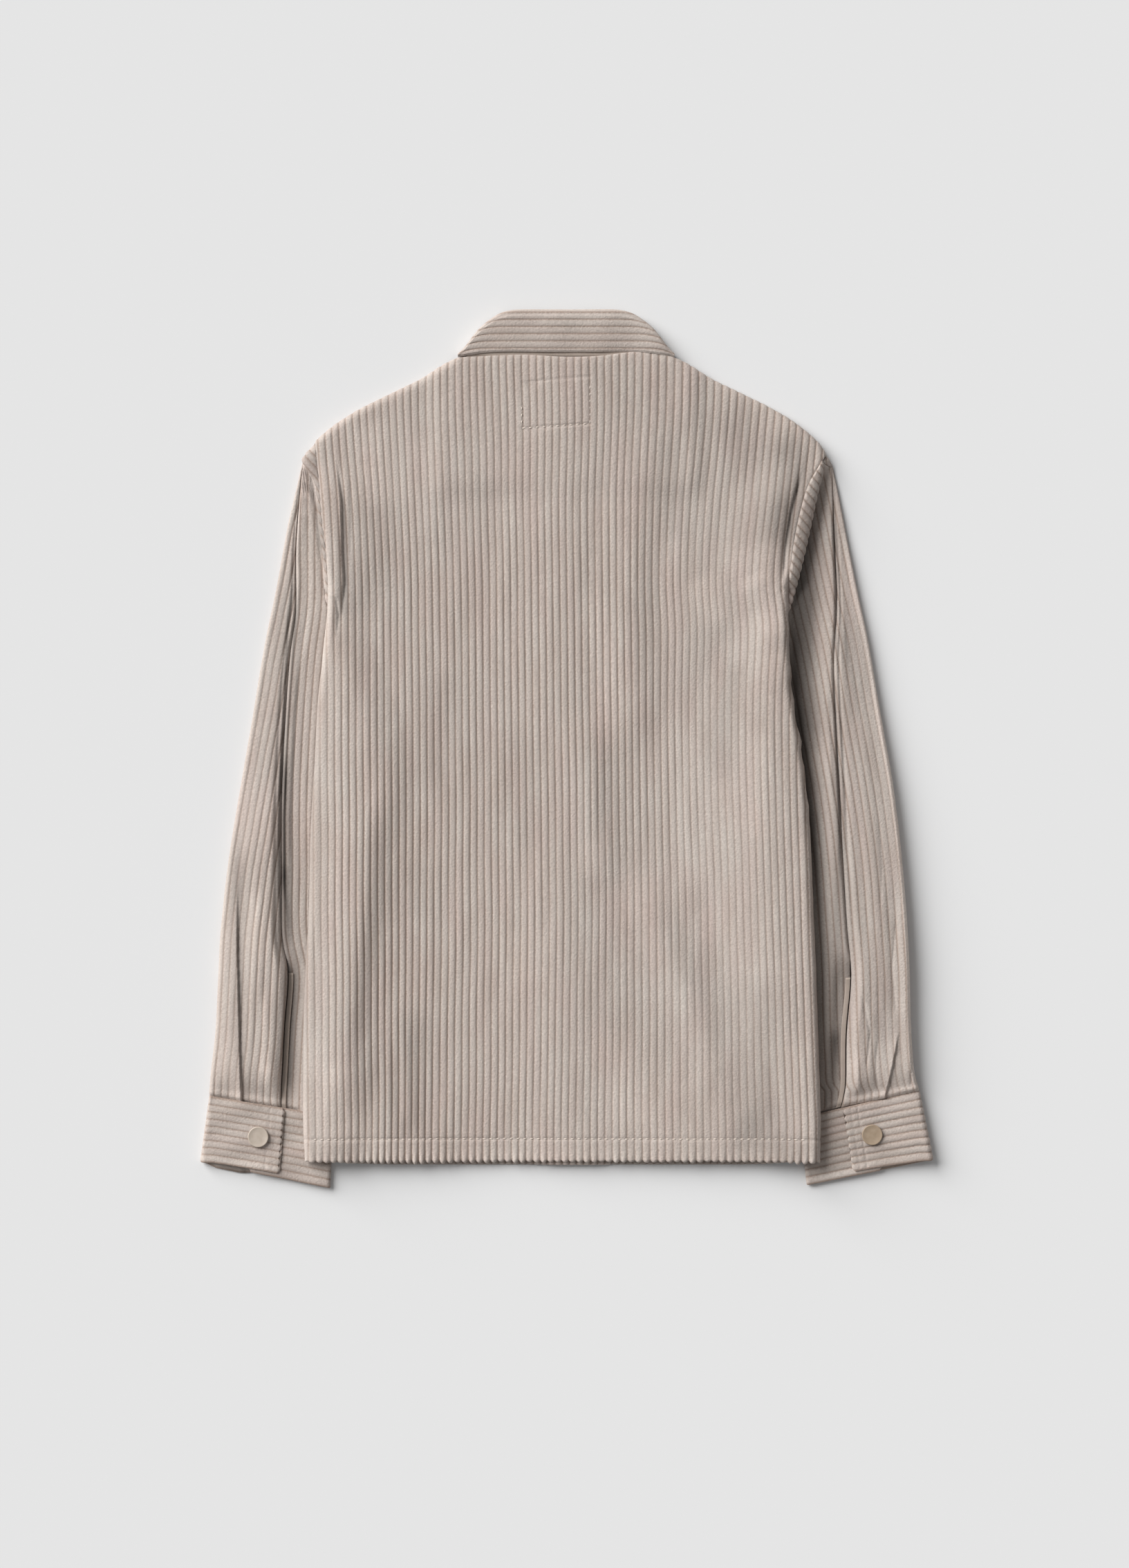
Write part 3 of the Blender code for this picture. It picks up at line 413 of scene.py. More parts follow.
class Nodes:
    """A new material under construction: each call adds a node and returns its output."""

    def __init__(self, name: str) -> None:
        """Start a material with its main shader."""
        self.material = bpy.data.materials.new(name)
        self.material.use_nodes = True
        self.tree = self.material.node_tree

    def feed(self, node: bpy.types.Node, inputs: dict) -> None:
        """Set a node's inputs, by name or number, to values or sockets."""
        for socket, value in inputs.items():
            if isinstance(value, Socket):
                self.tree.links.new(value, node.inputs[socket])
            else:
                node.inputs[socket].default_value = value

    def add(self, kind: str, inputs: dict, output: int | str = 0, **settings) -> Socket:
        """Add one node.

        Args:
            kind: The node's type, without its ShaderNode prefix.
            inputs: Values or sockets by input name or number.
            output: Name or number of the output to return.
            **settings: The node's own settings.

        Returns:
            The output.
        """
        node = self.tree.nodes.new("ShaderNode" + kind)
        for name, value in settings.items():
            setattr(node, name, value)
        self.feed(node, inputs)
        return node.outputs[output]

    def place(self) -> Socket:
        """Place on the object, in metres."""
        return self.add("TexCoord", {}, "Object")

    def attribute(self, name: str) -> Socket:
        """Share that the mesh's points carry."""
        return self.add("Attribute", {}, "Fac", attribute_name=name)

    def math(self, operation: str, *values: Socket | float) -> Socket:
        """Result of one sum."""
        return self.add("Math", dict(enumerate(values)), operation=operation)

    def noise(self, place: Socket, size: float, detail: float, **more: float) -> Socket:
        """Noise with lumps of about one size."""
        return self.add("TexNoise", {"Vector": place, "Scale": 1.0 / size, "Detail": detail, **more})

    def spread(self, value: Socket, source: tuple[float, float], target: tuple[float, float]) -> Socket:
        """A range of values, stretched over another."""
        limits = zip(("From Min", "From Max", "To Min", "To Max"), source + target)
        return self.add("MapRange", {"Value": value, **dict(limits)})

    def blend(self, share: Socket | float, a: Socket | str, b: Socket | str, how: str = "MIX") -> Socket:
        """Colour between two, each a socket or an sRGB hex colour."""
        ends = [linear(end) if isinstance(end, str) else end for end in (a, b)]
        return self.add("Mix", {0: share, 6: ends[0], 7: ends[1]}, 2, data_type="RGBA", blend_type=how)

    def bump(self, height: Socket, strength: float, distance: float, **more: Socket) -> Socket:
        """Direction of a surface with fine relief."""
        return self.add("Bump", {"Height": height, "Strength": strength, "Distance": distance, **more})

    def finish(self, inputs: dict) -> bpy.types.Material:
        """The material, with its main shader's inputs."""
        self.feed(self.tree.nodes["Principled BSDF"], inputs)
        return self.material


@dataclass(frozen=True)
class CorduroyPile:
    """Cotton corduroy: cut pile in raised wales on a woven ground.

    The pile leans this way and that after handling, so the same cloth shows soft lighter and darker
    streaks along the wales, a little pinker or greyer. Its crests are velvety, its valleys painted dark as
    shade.
    """

    name: str = "cotton_corduroy"
    light: str = "#C8BFB7"
    dark: str = "#B7A9A0"
    pink: str = "#C0ABA4"
    # painted shade in the valleys between the wales
    valley_shade: str = "#9E8B7F"
    sheen: str = "#E8DED6"
    pressed: bool = False           # wales only seen, not felt, on a side that is pressed flat
    streak_length: float = 0.060
    patch_size: float = 0.085
    pile_size: float = 0.0019       # real tufts are about 0.3 mm: drawn coarser so that they show
    ragged: float = 0.30            # how far tufts cross a wale's edge, as a share of the pitch
    steepness: float = 3.6          # of a wale's dark flank
    streak_weight: float = 0.7
    patch_weight: float = 0.35

    def material(self) -> bpy.types.Material:
        """Node material of this finish."""
        nodes = Nodes(self.name)
        uv = nodes.add("UVMap", {}, uv_map=UV_NAME)
        place = nodes.place()
        tufts = nodes.noise(place, self.pile_size, 3.0, Roughness=0.7)
        ragged = nodes.math("MULTIPLY_ADD", tufts, self.ragged, nodes.add("SeparateXYZ", {0: uv}))
        share = nodes.math("FRACT", nodes.math("ADD", ragged, -0.5 * self.ragged))
        away = nodes.math("ABSOLUTE", nodes.math("MULTIPLY_ADD", share, 2.0, -1.0))
        # Painted shade: 1 in a wale's valley, falling off towards its crest, less where the pile is worn low
        flank = nodes.math("POWER", away, self.steepness)
        depth = nodes.math("MULTIPLY", flank, nodes.math("SUBTRACT", 1.0, nodes.attribute(WORN_NAME)))

        lengthwise = nodes.add("Mapping", {"Vector": uv, "Scale": (0.55, 1.0 / self.streak_length, 1.0)})
        streak = nodes.noise(lengthwise, 1.0, 3.0, Roughness=0.6)
        patch = nodes.noise(place, self.patch_size, 2.0)
        weighed = nodes.math("MULTIPLY", streak, self.streak_weight)
        weighed = nodes.math("MULTIPLY_ADD", patch, self.patch_weight, weighed)
        laid = nodes.blend(nodes.spread(weighed, (0.30, 0.75), (0.0, 1.0)), self.dark, self.light)
        slower = nodes.add("Mapping", {
            "Vector": uv, "Scale": (0.3, 0.6 / self.streak_length, 1.0), "Location": (7.0, 3.0, 0.0),
        })
        blush = nodes.spread(nodes.noise(slower, 1.0, 2.0), (0.45, 0.75), (0.0, 0.4))
        tinted = nodes.blend(blush, laid, self.pink)
        shaded = nodes.blend(depth, tinted, self.valley_shade)

        grain = nodes.spread(tufts, (0.3, 0.7), (0.86, 1.12))
        # Painted light and shade from the mesh's zones scales the colour, with the tufts' fine grain
        lit = nodes.math("MULTIPLY_ADD", nodes.attribute(PAINTED_LIGHT_NAME), grain, grain)
        bump = nodes.bump(tufts, 0.6, 0.0009)
        if self.pressed:
            bump = nodes.bump(nodes.math("SUBTRACT", 1.0, flank), 0.8, 0.0006, Normal=bump)
        return nodes.finish({
            "Base Color": nodes.blend(1.0, shaded, lit, "MULTIPLY"), "Normal": bump, "Roughness": 0.95,
            "Specular IOR Level": 0.15, "Sheen Weight": 0.25, "Sheen Roughness": 0.45,
            "Sheen Tint": linear(self.sheen),
        })


@dataclass(frozen=True)
class PlainWeave:
    """Plain woven cotton of the inner stand and the vent's bound edges: even, matt, with fine threads."""

    name: str = "plain_weave_cotton"
    light: str = "#BFB0A4"
    dark: str = "#A39488"
    thread: float = 0.0012          # real threads are about 0.4 mm apart: drawn coarser so that they show
    slub: float = 0.012

    def material(self) -> bpy.types.Material:
        """Node material of this finish."""
        nodes = Nodes(self.name)
        place = nodes.place()
        scale = math.pi / self.thread / 20.0 * 2.0
        warp, weft = (
            nodes.add("TexWave", {"Vector": place, "Scale": scale}, 1, bands_direction=way) for way in "XY"
        )
        over = nodes.math("MULTIPLY", warp, weft)
        share = nodes.math("ADD", over, nodes.noise(place, self.slub, 3.0))
        return nodes.finish({
            "Base Color": nodes.blend(share, self.dark, self.light), "Normal": nodes.bump(over, 0.5, 0.0003),
            "Roughness": 0.9, "Sheen Weight": 0.1,
        })


@dataclass(frozen=True)
class SnapEnamel:
    """Pressed brass snap cap under matt baked enamel: soft highlight, and faint mottling towards a lighter worn
    colour.
    """

    name: str
    base: str
    worn: str
    mottle: float = 0.004
    grain: float = 0.0008

    def material(self) -> bpy.types.Material:
        """Node material of this finish."""
        nodes = Nodes(self.name)
        place = nodes.place()
        cloud = nodes.noise(place, self.mottle, 3.0)
        return nodes.finish({
            "Base Color": nodes.blend(cloud, self.base, self.worn),
            "Roughness": nodes.spread(cloud, (0.3, 0.7), (0.42, 0.58)),
            "Normal": nodes.bump(nodes.noise(place, self.grain, 1.0), 0.15, 0.0002),
        })


@dataclass(frozen=True)
class SpunThread:
    """Spun polyester sewing thread: matt, with a slight twist that breaks its colour."""

    name: str = "spun_polyester_thread"
    light: str = "#DCD1C7"
    dark: str = "#C3B6AA"
    twist: float = 0.0008

    def material(self) -> bpy.types.Material:
        """Node material of this finish."""
        nodes = Nodes(self.name)
        twist = nodes.noise(nodes.place(), self.twist, 1.0)
        return nodes.finish({"Base Color": nodes.blend(twist, self.dark, self.light), "Roughness": 0.8})


@dataclass(frozen=True)
class MattPaper:
    """Rolled backdrop paper: even, matt and pale, with a hardly visible tooth."""

    name: str = "backdrop_paper"
    colour: str = "#E9E9E9"
    tooth: float = 0.002

    def material(self) -> bpy.types.Material:
        """Node material of this finish."""
        nodes = Nodes(self.name)
        return nodes.finish({
            "Base Color": linear(self.colour), "Roughness": 1.0, "Specular IOR Level": 0.0,
            "Normal": nodes.bump(nodes.noise(nodes.place(), self.tooth, 2.0), 0.05, 0.0002),
        })


def dress(
    piece: bpy.types.Object, material: bpy.types.Material, slot: Slot, nodes: tuple[str, ...] = ()
) -> bpy.types.Object:
    """Give a piece its finish, attach it to the root, and hide the nodes that it stands for.

    Args:
        piece: The finished piece.
        material: Its material.
        slot: The record's slot of that material; not used.
        nodes: CAD nodes that it replaces.

    Returns:
        The same piece.
    """
    piece.data.materials.clear()
    piece.data.materials.append(material)
    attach(piece, "root")
    slot.value
    if nodes:
        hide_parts(*nodes)
    LOG.info("%s: %d faces", piece.name, len(piece.data.polygons))
    return piece


# The body's form, which its pieces share

HEM_Y = -0.3745
HEM_DEPTH = 0.0195
NECK_HALF = 0.0985
NECK_Y = 0.3568
SHOULDER_ROLL = 0.0080
SHOULDER_EDGE_Z = 0.0040
SIDE_ROLL = 0.0060
UNDERARM_Y = 0.1345
LOFT = 0.0014               # air that the cloth's stiffness keeps between the panels
LEFT_EDGE = SoftCurve([
    (-0.3785, -0.2368), (-0.350, -0.2390), (-0.262, -0.2390), (-0.199, -0.2370), (-0.136, -0.2340),
    (-0.080, -0.2326), (-0.040, -0.2308), (0.010, -0.2280), (0.045, -0.2260), (0.090, -0.2212),
    (0.137, -0.2170), (0.172, -0.2185), (0.208, -0.2225), (0.240, -0.2250),
    (0.270, -0.2278), (0.290, -0.2300),
])
RIGHT_EDGE = SoftCurve([
    (-0.3785, 0.2297), (-0.350, 0.2310), (-0.262, 0.2290), (-0.199, 0.2270), (-0.136, 0.2240),
    (-0.080, 0.2216), (-0.040, 0.2185), (0.010, 0.2120), (0.045, 0.2060), (0.090, 0.2030),
    (0.137, 0.2020), (0.172, 0.2055), (0.208, 0.2118), (0.240, 0.2210), (0.270, 0.2370), (0.290, 0.2390),
])
SHOULDER = SoftCurve([
    (NECK_HALF, NECK_Y), (0.108, 0.3525), (0.1325, 0.3374), (0.1635, 0.3222), (0.193, 0.3071),
    (0.2155, 0.2920), (0.2315, 0.2770), (0.2420, 0.2600),
])
NECK_LIP = SoftCurve([
    (-0.0985, 0.0), (-0.070, 0.0014), (-0.038, 0.0022), (0.0, 0.0003), (0.030, 0.0012), (0.064, 0.0050),
    (0.082, 0.0034), (0.0985, 0.0),
])
TUCK = SoftCurve([
    (-0.335, 0.026), (-0.262, 0.046), (-0.172, 0.056), (-0.050, 0.060), (0.010, 0.054), (0.060, 0.035),
    (0.093, 0.016), (0.122, 0.002),
])
BACK_CREASES = (
    # Left armhole: a tube-like bulge beside the seam, a sharp crease inside it and a pinch below
    Crease(((-222, 262), (-217, 224), (-213, 178), (-213, 140), (-215, 108)), 1.6, 7.0),
    Crease(((-209, 266), (-204.5, 226), (-203.6, 178), (-202.3, 152), (-204, 126)), -2.4, 1.8, True),
    Crease(((-197, 246), (-196, 205), (-196.5, 168)), -0.9, 3.0, True),
    Crease(((-210, 140), (-207, 121), (-209, 104)), -1.8, 3.2, True),
    # Right armhole: a trough inside the seam, a pinch at its foot and a soft bump beside it
    Crease(((215, 254), (204.5, 215), (199, 182), (197, 150)), -3.2, 2.8, True),
    Crease(((205, 150), (200, 146), (194, 144)), -1.4, 2.4, True),
    Crease(((168, 160), (184, 126), (192, 88)), 2.4, 15.0),
    Crease(((192, 246), (186, 200), (180, 150)), 1.2, 9.0),
    # Long soft drape of the middle and of the lower right
    Crease(((48, 255), (54, 150), (60, 60), (64, -10)), 2.6, 19.0),
    Crease(((18, 40), (24, -50), (32, -130)), 1.8, 16.0),
    Crease(((66, -110), (85, -165), (108, -215), (130, -267), (162, -322)), 3.4, 19.0),
    Crease(((118, -118), (142, -190), (168, -262)), -1.4, 15.0),
    Crease(((186, -284), (189, -318), (191, -348)), -0.9, 5.0),
    Crease(((112, -296), (146, -330), (176, -352)), 0.8, 12.0),
    # Left half
    Crease(((-112, 70), (-115, 10), (-112, -40)), -0.8, 11.0),
    Crease(((-148, -248), (-146, -300), (-143, -352)), 1.1, 9.0),
    Crease(((-155, -256), (-154, -300), (-152, -340)), -1.1, 5.5),
    Crease(((-188, -40), (-192, -150), (-204, -280)), 1.6, 15.0),
    Crease(((-156, -50), (-161, -125), (-174, -210), (-186, -296)), -1.6, 13.0),
    Crease(((-60, 250), (-72, 170), (-78, 90)), -0.6, 14.0),
    Crease(((-128, 292), (-120, 236), (-126, 180)), 0.6, 13.0),
    Crease(((104, 300), (92, 250), (86, 180), (84, 90)), -0.9, 13.0),
)
# The hem lies down on the front in the middle and stands off the floor at both sides
HEM_LIFT = SoftCurve([
    (-0.250, 0.0004), (-0.215, 0.0022), (-0.170, 0.0046), (-0.125, 0.0030), (-0.075, 0.0), (-0.035, -0.0012),
    (0.010, -0.0004), (0.060, 0.0022), (0.110, 0.0042), (0.160, 0.0046), (0.200, 0.0020), (0.250, 0.0),
])
LEFT_TUCK = Pleat(((-208, 268), (-204.5, 226), (-203.6, 178), (-202.3, 152), (-206, 110)), 3.0, 9.0, True)
# Painted light and shade on the back, as soft zones of lightness: painted shade in its troughs and beside the
# right armhole, and painted light and shade along its edges and broad drape, with the nap's painted sheen
BACK_PAINTED_LIGHT = (
    # Left half: painted light along the edge and at the shoulder, painted shade between
    Crease(((-212, 190), (-214, 60), (-220, -80), (-226, -240), (-226, -372)), 0.12, 18.0),
    Crease(((-220, 104), (-222, 80), (-228, 10), (-234, -136), (-239, -262), (-239, -350)), -0.24, 3.4),
    Crease(((-208, -280), (-208, -320), (-208, -366)), 0.22, 17.0),
    Crease(((-186, 306), (-176, 262), (-162, 216)), 0.15, 20.0),
    Crease(((-170, 80), (-166, 20), (-176, -60)), 0.08, 13.0),
    Crease(((-138, -230), (-146, -290), (-152, -366)), -0.19, 20.0),
    Crease(((-108, 80), (-110, 10), (-124, -50)), -0.09, 18.0),
    Crease(((-138, -100), (-132, -160)), -0.08, 18.0),
    Crease(((-170, 0), (-173, -150), (-166, -310)), 0.07, 17.0),
    Crease(((-128, 340), (-128, 300), (-126, 270)), -0.05, 14.0),
    Crease(((-40, 250), (-40, 60), (-40, -130)), -0.025, 60.0),
    Crease(((-130, -372), (-40, -374), (60, -372)), 0.06, 12.0),
    Crease(((-44, 30), (-42, -40), (-38, -100)), -0.08, 14.0),
    # Middle
    Crease(((24, 150), (34, 60), (42, -10)), 0.09, 14.0),
    Crease(((62, 250), (60, 190), (60, 130)), 0.10, 12.0),
    Crease(((92, 290), (100, 180)), -0.14, 13.0),
    Crease(((20, -80), (26, -120)), 0.08, 14.0),
    Crease(((-44, -160), (-40, -220)), 0.06, 18.0),
    Crease(((34, -250), (46, -300), (62, -352)), 0.10, 22.0),
    # Right half
    Crease(((118, 160), (130, 134), (140, 112)), 0.17, 15.0),
    Crease(((156, 92), (150, 60), (140, 10), (140, -36)), -0.14, 15.0),
    Crease(((98, 50), (104, -60), (112, -160), (120, -200)), 0.11, 14.0),
    Crease(((176, 20), (172, -60), (166, -90)), 0.09, 16.0),
    Crease(((140, 322), (164, 272), (170, 230), (166, 164)), -0.18, 24.0),
    Crease(((202, 296), (204, 254), (196, 214), (194, 176)), -0.32, 17.0),
    Crease(((214, 252), (204.5, 215), (199, 182), (197, 152)), -0.25, 2.0),
    Crease(((214, 270), (213, 240), (208, 212), (204, 170)), -0.16, 7.0),
    Crease(((206, 40), (212, -30), (217, -90)), -0.10, 8.0),
    Crease(((196, 120), (198, 80), (198, 40)), -0.14, 16.0),
    Crease(((178, -200), (182, -280), (190, -350)), -0.15, 20.0),
    Crease(((150, -336), (190, -356), (220, -380)), -0.25, 23.0),
    Crease(((30, 334), (80, 316), (110, 276)), -0.06, 24.0),
    Crease(((152, 250), (152, 40), (156, -160), (164, -430)), -0.085, 42.0),
)
# Where the pile is rubbed low, and where it stands fuller
BACK_WORN = (
    Crease(((122, 345), (118, 100), (118, -150), (124, -480)), 0.30, 35.0),
    Crease(((170, 345), (164, 100), (166, -150), (172, -480)), 0.30, 35.0),
    Crease(((40, -30), (30, -200), (20, -480)), 0.24, 66.0),
    Crease(((-230, 272), (-100, 256), (0, 250), (130, 270)), 0.22, 70.0),
    Crease(((-221, 190), (-223, 0), (-224, -200), (-224, -480)), 0.42, 14.0),
    Crease(((-165, 20), (-168, -150), (-156, -280), (-126, -460)), -0.34, 34.0),
)

# What lies under the back, and how far it lifts it
BACK_REST = 0.0056
LAP_RISE = 0.0036
LAP_SPREAD = 0.045
COLLAR_RISE = 0.0027
CUFF_RISE = 0.0022
EDGE_DROP = 0.0105          # most that a rolled edge comes down
EDGE_REST = 0.0030          # height that it doesn't come down to
# The same by side, left and right
ARMHOLE_RISE = (0.0052, 0.0100)
SLEEVE_RISE = (0.0060, 0.0126)
CLIMB_START = (0.036, 0.050)        # inside the tucked sleeve's inner edge
CLIMB_WIDTH = (0.045, 0.080)
ARMHOLE_ROLL = (50.0, 16.0)         # degrees


def by_side(side: Array, left: Array, right: Array) -> Array:
    """The left or the right value, by the sign of the side."""
    return np.where(np.asarray(side) < 0, left, right)


def side_of(x: Array) -> Array:
    """Sign of x, 1 in the middle."""
    return by_side(x, -1.0, 1.0)


def body_edge(side: Array, y: Array) -> Array:
    """X of the body's side edge or armhole."""
    return by_side(side, LEFT_EDGE(y), RIGHT_EDGE(y))


def inner_edge(side: Array, y: Array) -> Array:
    """X of the tucked sleeve's inner edge."""
    return body_edge(side, y) - side * TUCK(y)


def below_underarm(y: Array) -> Array:
    """1 along the side edges, 0 along the armholes."""
    return descend(y, 0.165, 0.024)


def over_cuff(y: Array) -> Array:
    """1 where a cuff lies under the body, 0 further up."""
    return descend(y, -0.255, 0.045)


def over_collar(x: Array, y: Array) -> Array:
    """How far the collar's front leaf lies under a point, 0 to 1."""
    return rise(y, 0.222, 0.026) * descend(np.abs(x), 0.132, 0.022)


def on_shoulder(x: Array) -> Array:
    """1 along the shoulders, 0 along the neck."""
    return rise(np.abs(x), 0.094, 0.016)


def back_ground(x: Array, y: Array) -> Array:
    """Height of the back's ground cloth, with its creases but without rolled edges or wales."""
    side = side_of(x)
    lap = LAP_RISE * bell(x, LAP_SPREAD)
    collar = COLLAR_RISE * over_collar(x, y)
    lower = descend(y, 0.185, 0.070)
    reach = np.abs(x) - np.abs(body_edge(side, y))
    armhole = by_side(side, *ARMHOLE_RISE) * rise(reach, -0.075, 0.060)
    armhole = armhole * (1 - lower) * mix(1.0, 0.4, rise(y, 0.222, 0.045))
    over_sleeve = by_side(side, *SLEEVE_RISE) + CUFF_RISE * over_cuff(y)
    under = np.abs(x) - np.abs(inner_edge(side, y)) + by_side(side, *CLIMB_START)
    tuck = over_sleeve * ramp(under / by_side(side, *CLIMB_WIDTH))
    folds = relief(BACK_CREASES, x, y) + LEFT_TUCK.height_at(x, y)
    hem = HEM_LIFT(x) * descend(y, -0.270, 0.105)
    return BACK_REST + LOFT + np.hypot(lap, collar) + (tuck * lower + armhole) + folds + hem


def edge_drop(ground: Array) -> Array:
    """How far a rolled edge comes down from the height of the cloth beside it."""
    return np.minimum(EDGE_DROP, (ground - EDGE_REST) * 0.6)


def top_y(x: Array) -> Array:
    """The back's top line: neck seam, then shoulder."""
    return np.where(np.abs(x) > NECK_HALF, SHOULDER(np.abs(x)), NECK_Y + NECK_LIP(x))


def side_angle(side: Array, y: Array) -> Array:
    """How far the edge rolls down: right over at the sides, less at the armholes."""
    return np.radians(mix(by_side(side, *ARMHOLE_ROLL), 90.0, below_underarm(y)))


def rolled_edge(side: int, y: Array, to_shoulder: bool) -> Array:
    """Height of the back's rolled edge.

    Args:
        side: Sign of x.
        y: Heights up the body.
        to_shoulder: Whether it comes down to the shoulder's edge at its upper end.

    Returns:
        Heights over the floor.
    """
    angle = side_angle(side, y)
    x = body_edge(side, y)
    ground = back_ground(x - side * SIDE_ROLL * np.sin(angle), y)
    if to_shoulder:
        ground = mix(ground, SHOULDER_EDGE_Z, rise(y - top_y(x), -0.012, 0.012))
    return ground - edge_drop(ground) * (1 - np.cos(angle))


@dataclass(frozen=True)
class BodyRow:
    """One row across the body: how it is placed, and its angle, height over the hem or share."""

    kind: RowKind
    value: float

    def level(self, hem: Array, top: Array, fold: float) -> Array:
        """Height up the body, from those of the hem and the top line; fold is the hem's radius."""
        if self.kind is RowKind.FOLD:
            return hem + fold * (1 - math.cos(self.value))
        if self.kind is RowKind.HEM:
            return hem + self.value
        if self.kind is RowKind.SHARE:
            return mix(hem + HEM_DEPTH, top - SHOULDER_ROLL, self.value)
        return top - SHOULDER_ROLL * (1 - math.sin(self.value))

    def y_at(self, x: Array, fold: float = 0.0) -> Array:
        """Height up the back where the row crosses x."""
        return self.level(HEM_Y + 0.0 * x, top_y(x), fold)

    def end(self, side: int, fold: float = 0.0) -> float:
        """X where the row meets the body's edge on one side."""
        x = float(body_edge(side, 0.0))
        for _ in range(24):
            x = 0.5 * (x + float(body_edge(side, self.y_at(x, fold))))
        return x


def turned_rows(kind: RowKind, angles: tuple[float, ...]) -> list[BodyRow]:
    """Rows round a fold or a roll, from their angles in degrees."""
    return [BodyRow(kind, math.radians(angle)) for angle in angles]


def placed_rows(kind: RowKind, places: Array) -> list[BodyRow]:
    """Rows from their heights or shares."""
    return [BodyRow(kind, float(place)) for place in places]


# How far the wales lean, in millimetres to the right of where they stand at y = 0
LEAN_XS = (-190, -120, -60, 0, 60, 120, 190)
LEAN = (
    (-340, (2.3, -2.3, -0.4, -0.4, 1.6, 6.6, 11.0)),
    (-150, (0.5, -0.1, 1.0, 1.7, 1.9, 4.4, 4.3)),
    (0, (0.0, 0.0, 0.0, 0.0, 0.0, 0.0, 0.0)),
    (58, (-0.3, -0.7, -0.6, -0.7, -0.6, 0.0, 0.6)),
    (110, (-0.6, -1.3, -1.1, -1.3, -1.0, 0.9, 3.0)),
    (152, (-0.8, -1.8, -1.4, -1.7, -1.6, -1.4, -0.6)),
    (229, (-4.4, -4.6, -3.0, -2.8, -1.2, 1.9, 6.6)),
    (267, (-8.0, -6.0, -3.4, -1.7, 0.1, 5.8, 10.9)),
    (305, (-10.6, -7.5, -4.5, -1.6, 1.5, 8.8, 15.0)),
    (345, (-13.0, -7.5, -5.5, -2.5, 2.0, 9.5, 20.0)),
)
LEAN_CURVES = [SoftCurve([(y * MM, row[k] * MM) for y, row in LEAN]) for k in range(len(LEAN_XS))]
FIRST_VALLEY_X = 0.0025
WALE_WOBBLE = 0.0003


def lean_at(x: Array, y: Array) -> Array:
    """How far a wale that stands at x at y = 0 has leaned at height y."""
    columns = np.array([curve(y) for curve in LEAN_CURVES])
    place = np.clip((np.asarray(x) / MM - LEAN_XS[0]), 0.0, LEAN_XS[-1] - LEAN_XS[0])
    marks = np.array(LEAN_XS, dtype=float) - LEAN_XS[0]
    k = np.clip(np.searchsorted(marks, place) - 1, 0, len(marks) - 2)
    share = (place - marks[k]) / (marks[k + 1] - marks[k])
    index = np.arange(columns.shape[1])
    return mix(columns[k, index], columns[k + 1, index], share)


def body_phase(x: Array, y: Array) -> Array:
    """Number of the wale at a point of the body, whole in the valleys."""
    start = np.array(x)
    for _ in range(6):
        start = x - lean_at(start, y)
    return (start - FIRST_VALLEY_X + WALE_WOBBLE * wander(x, y, 5, 0.12)) / PITCH


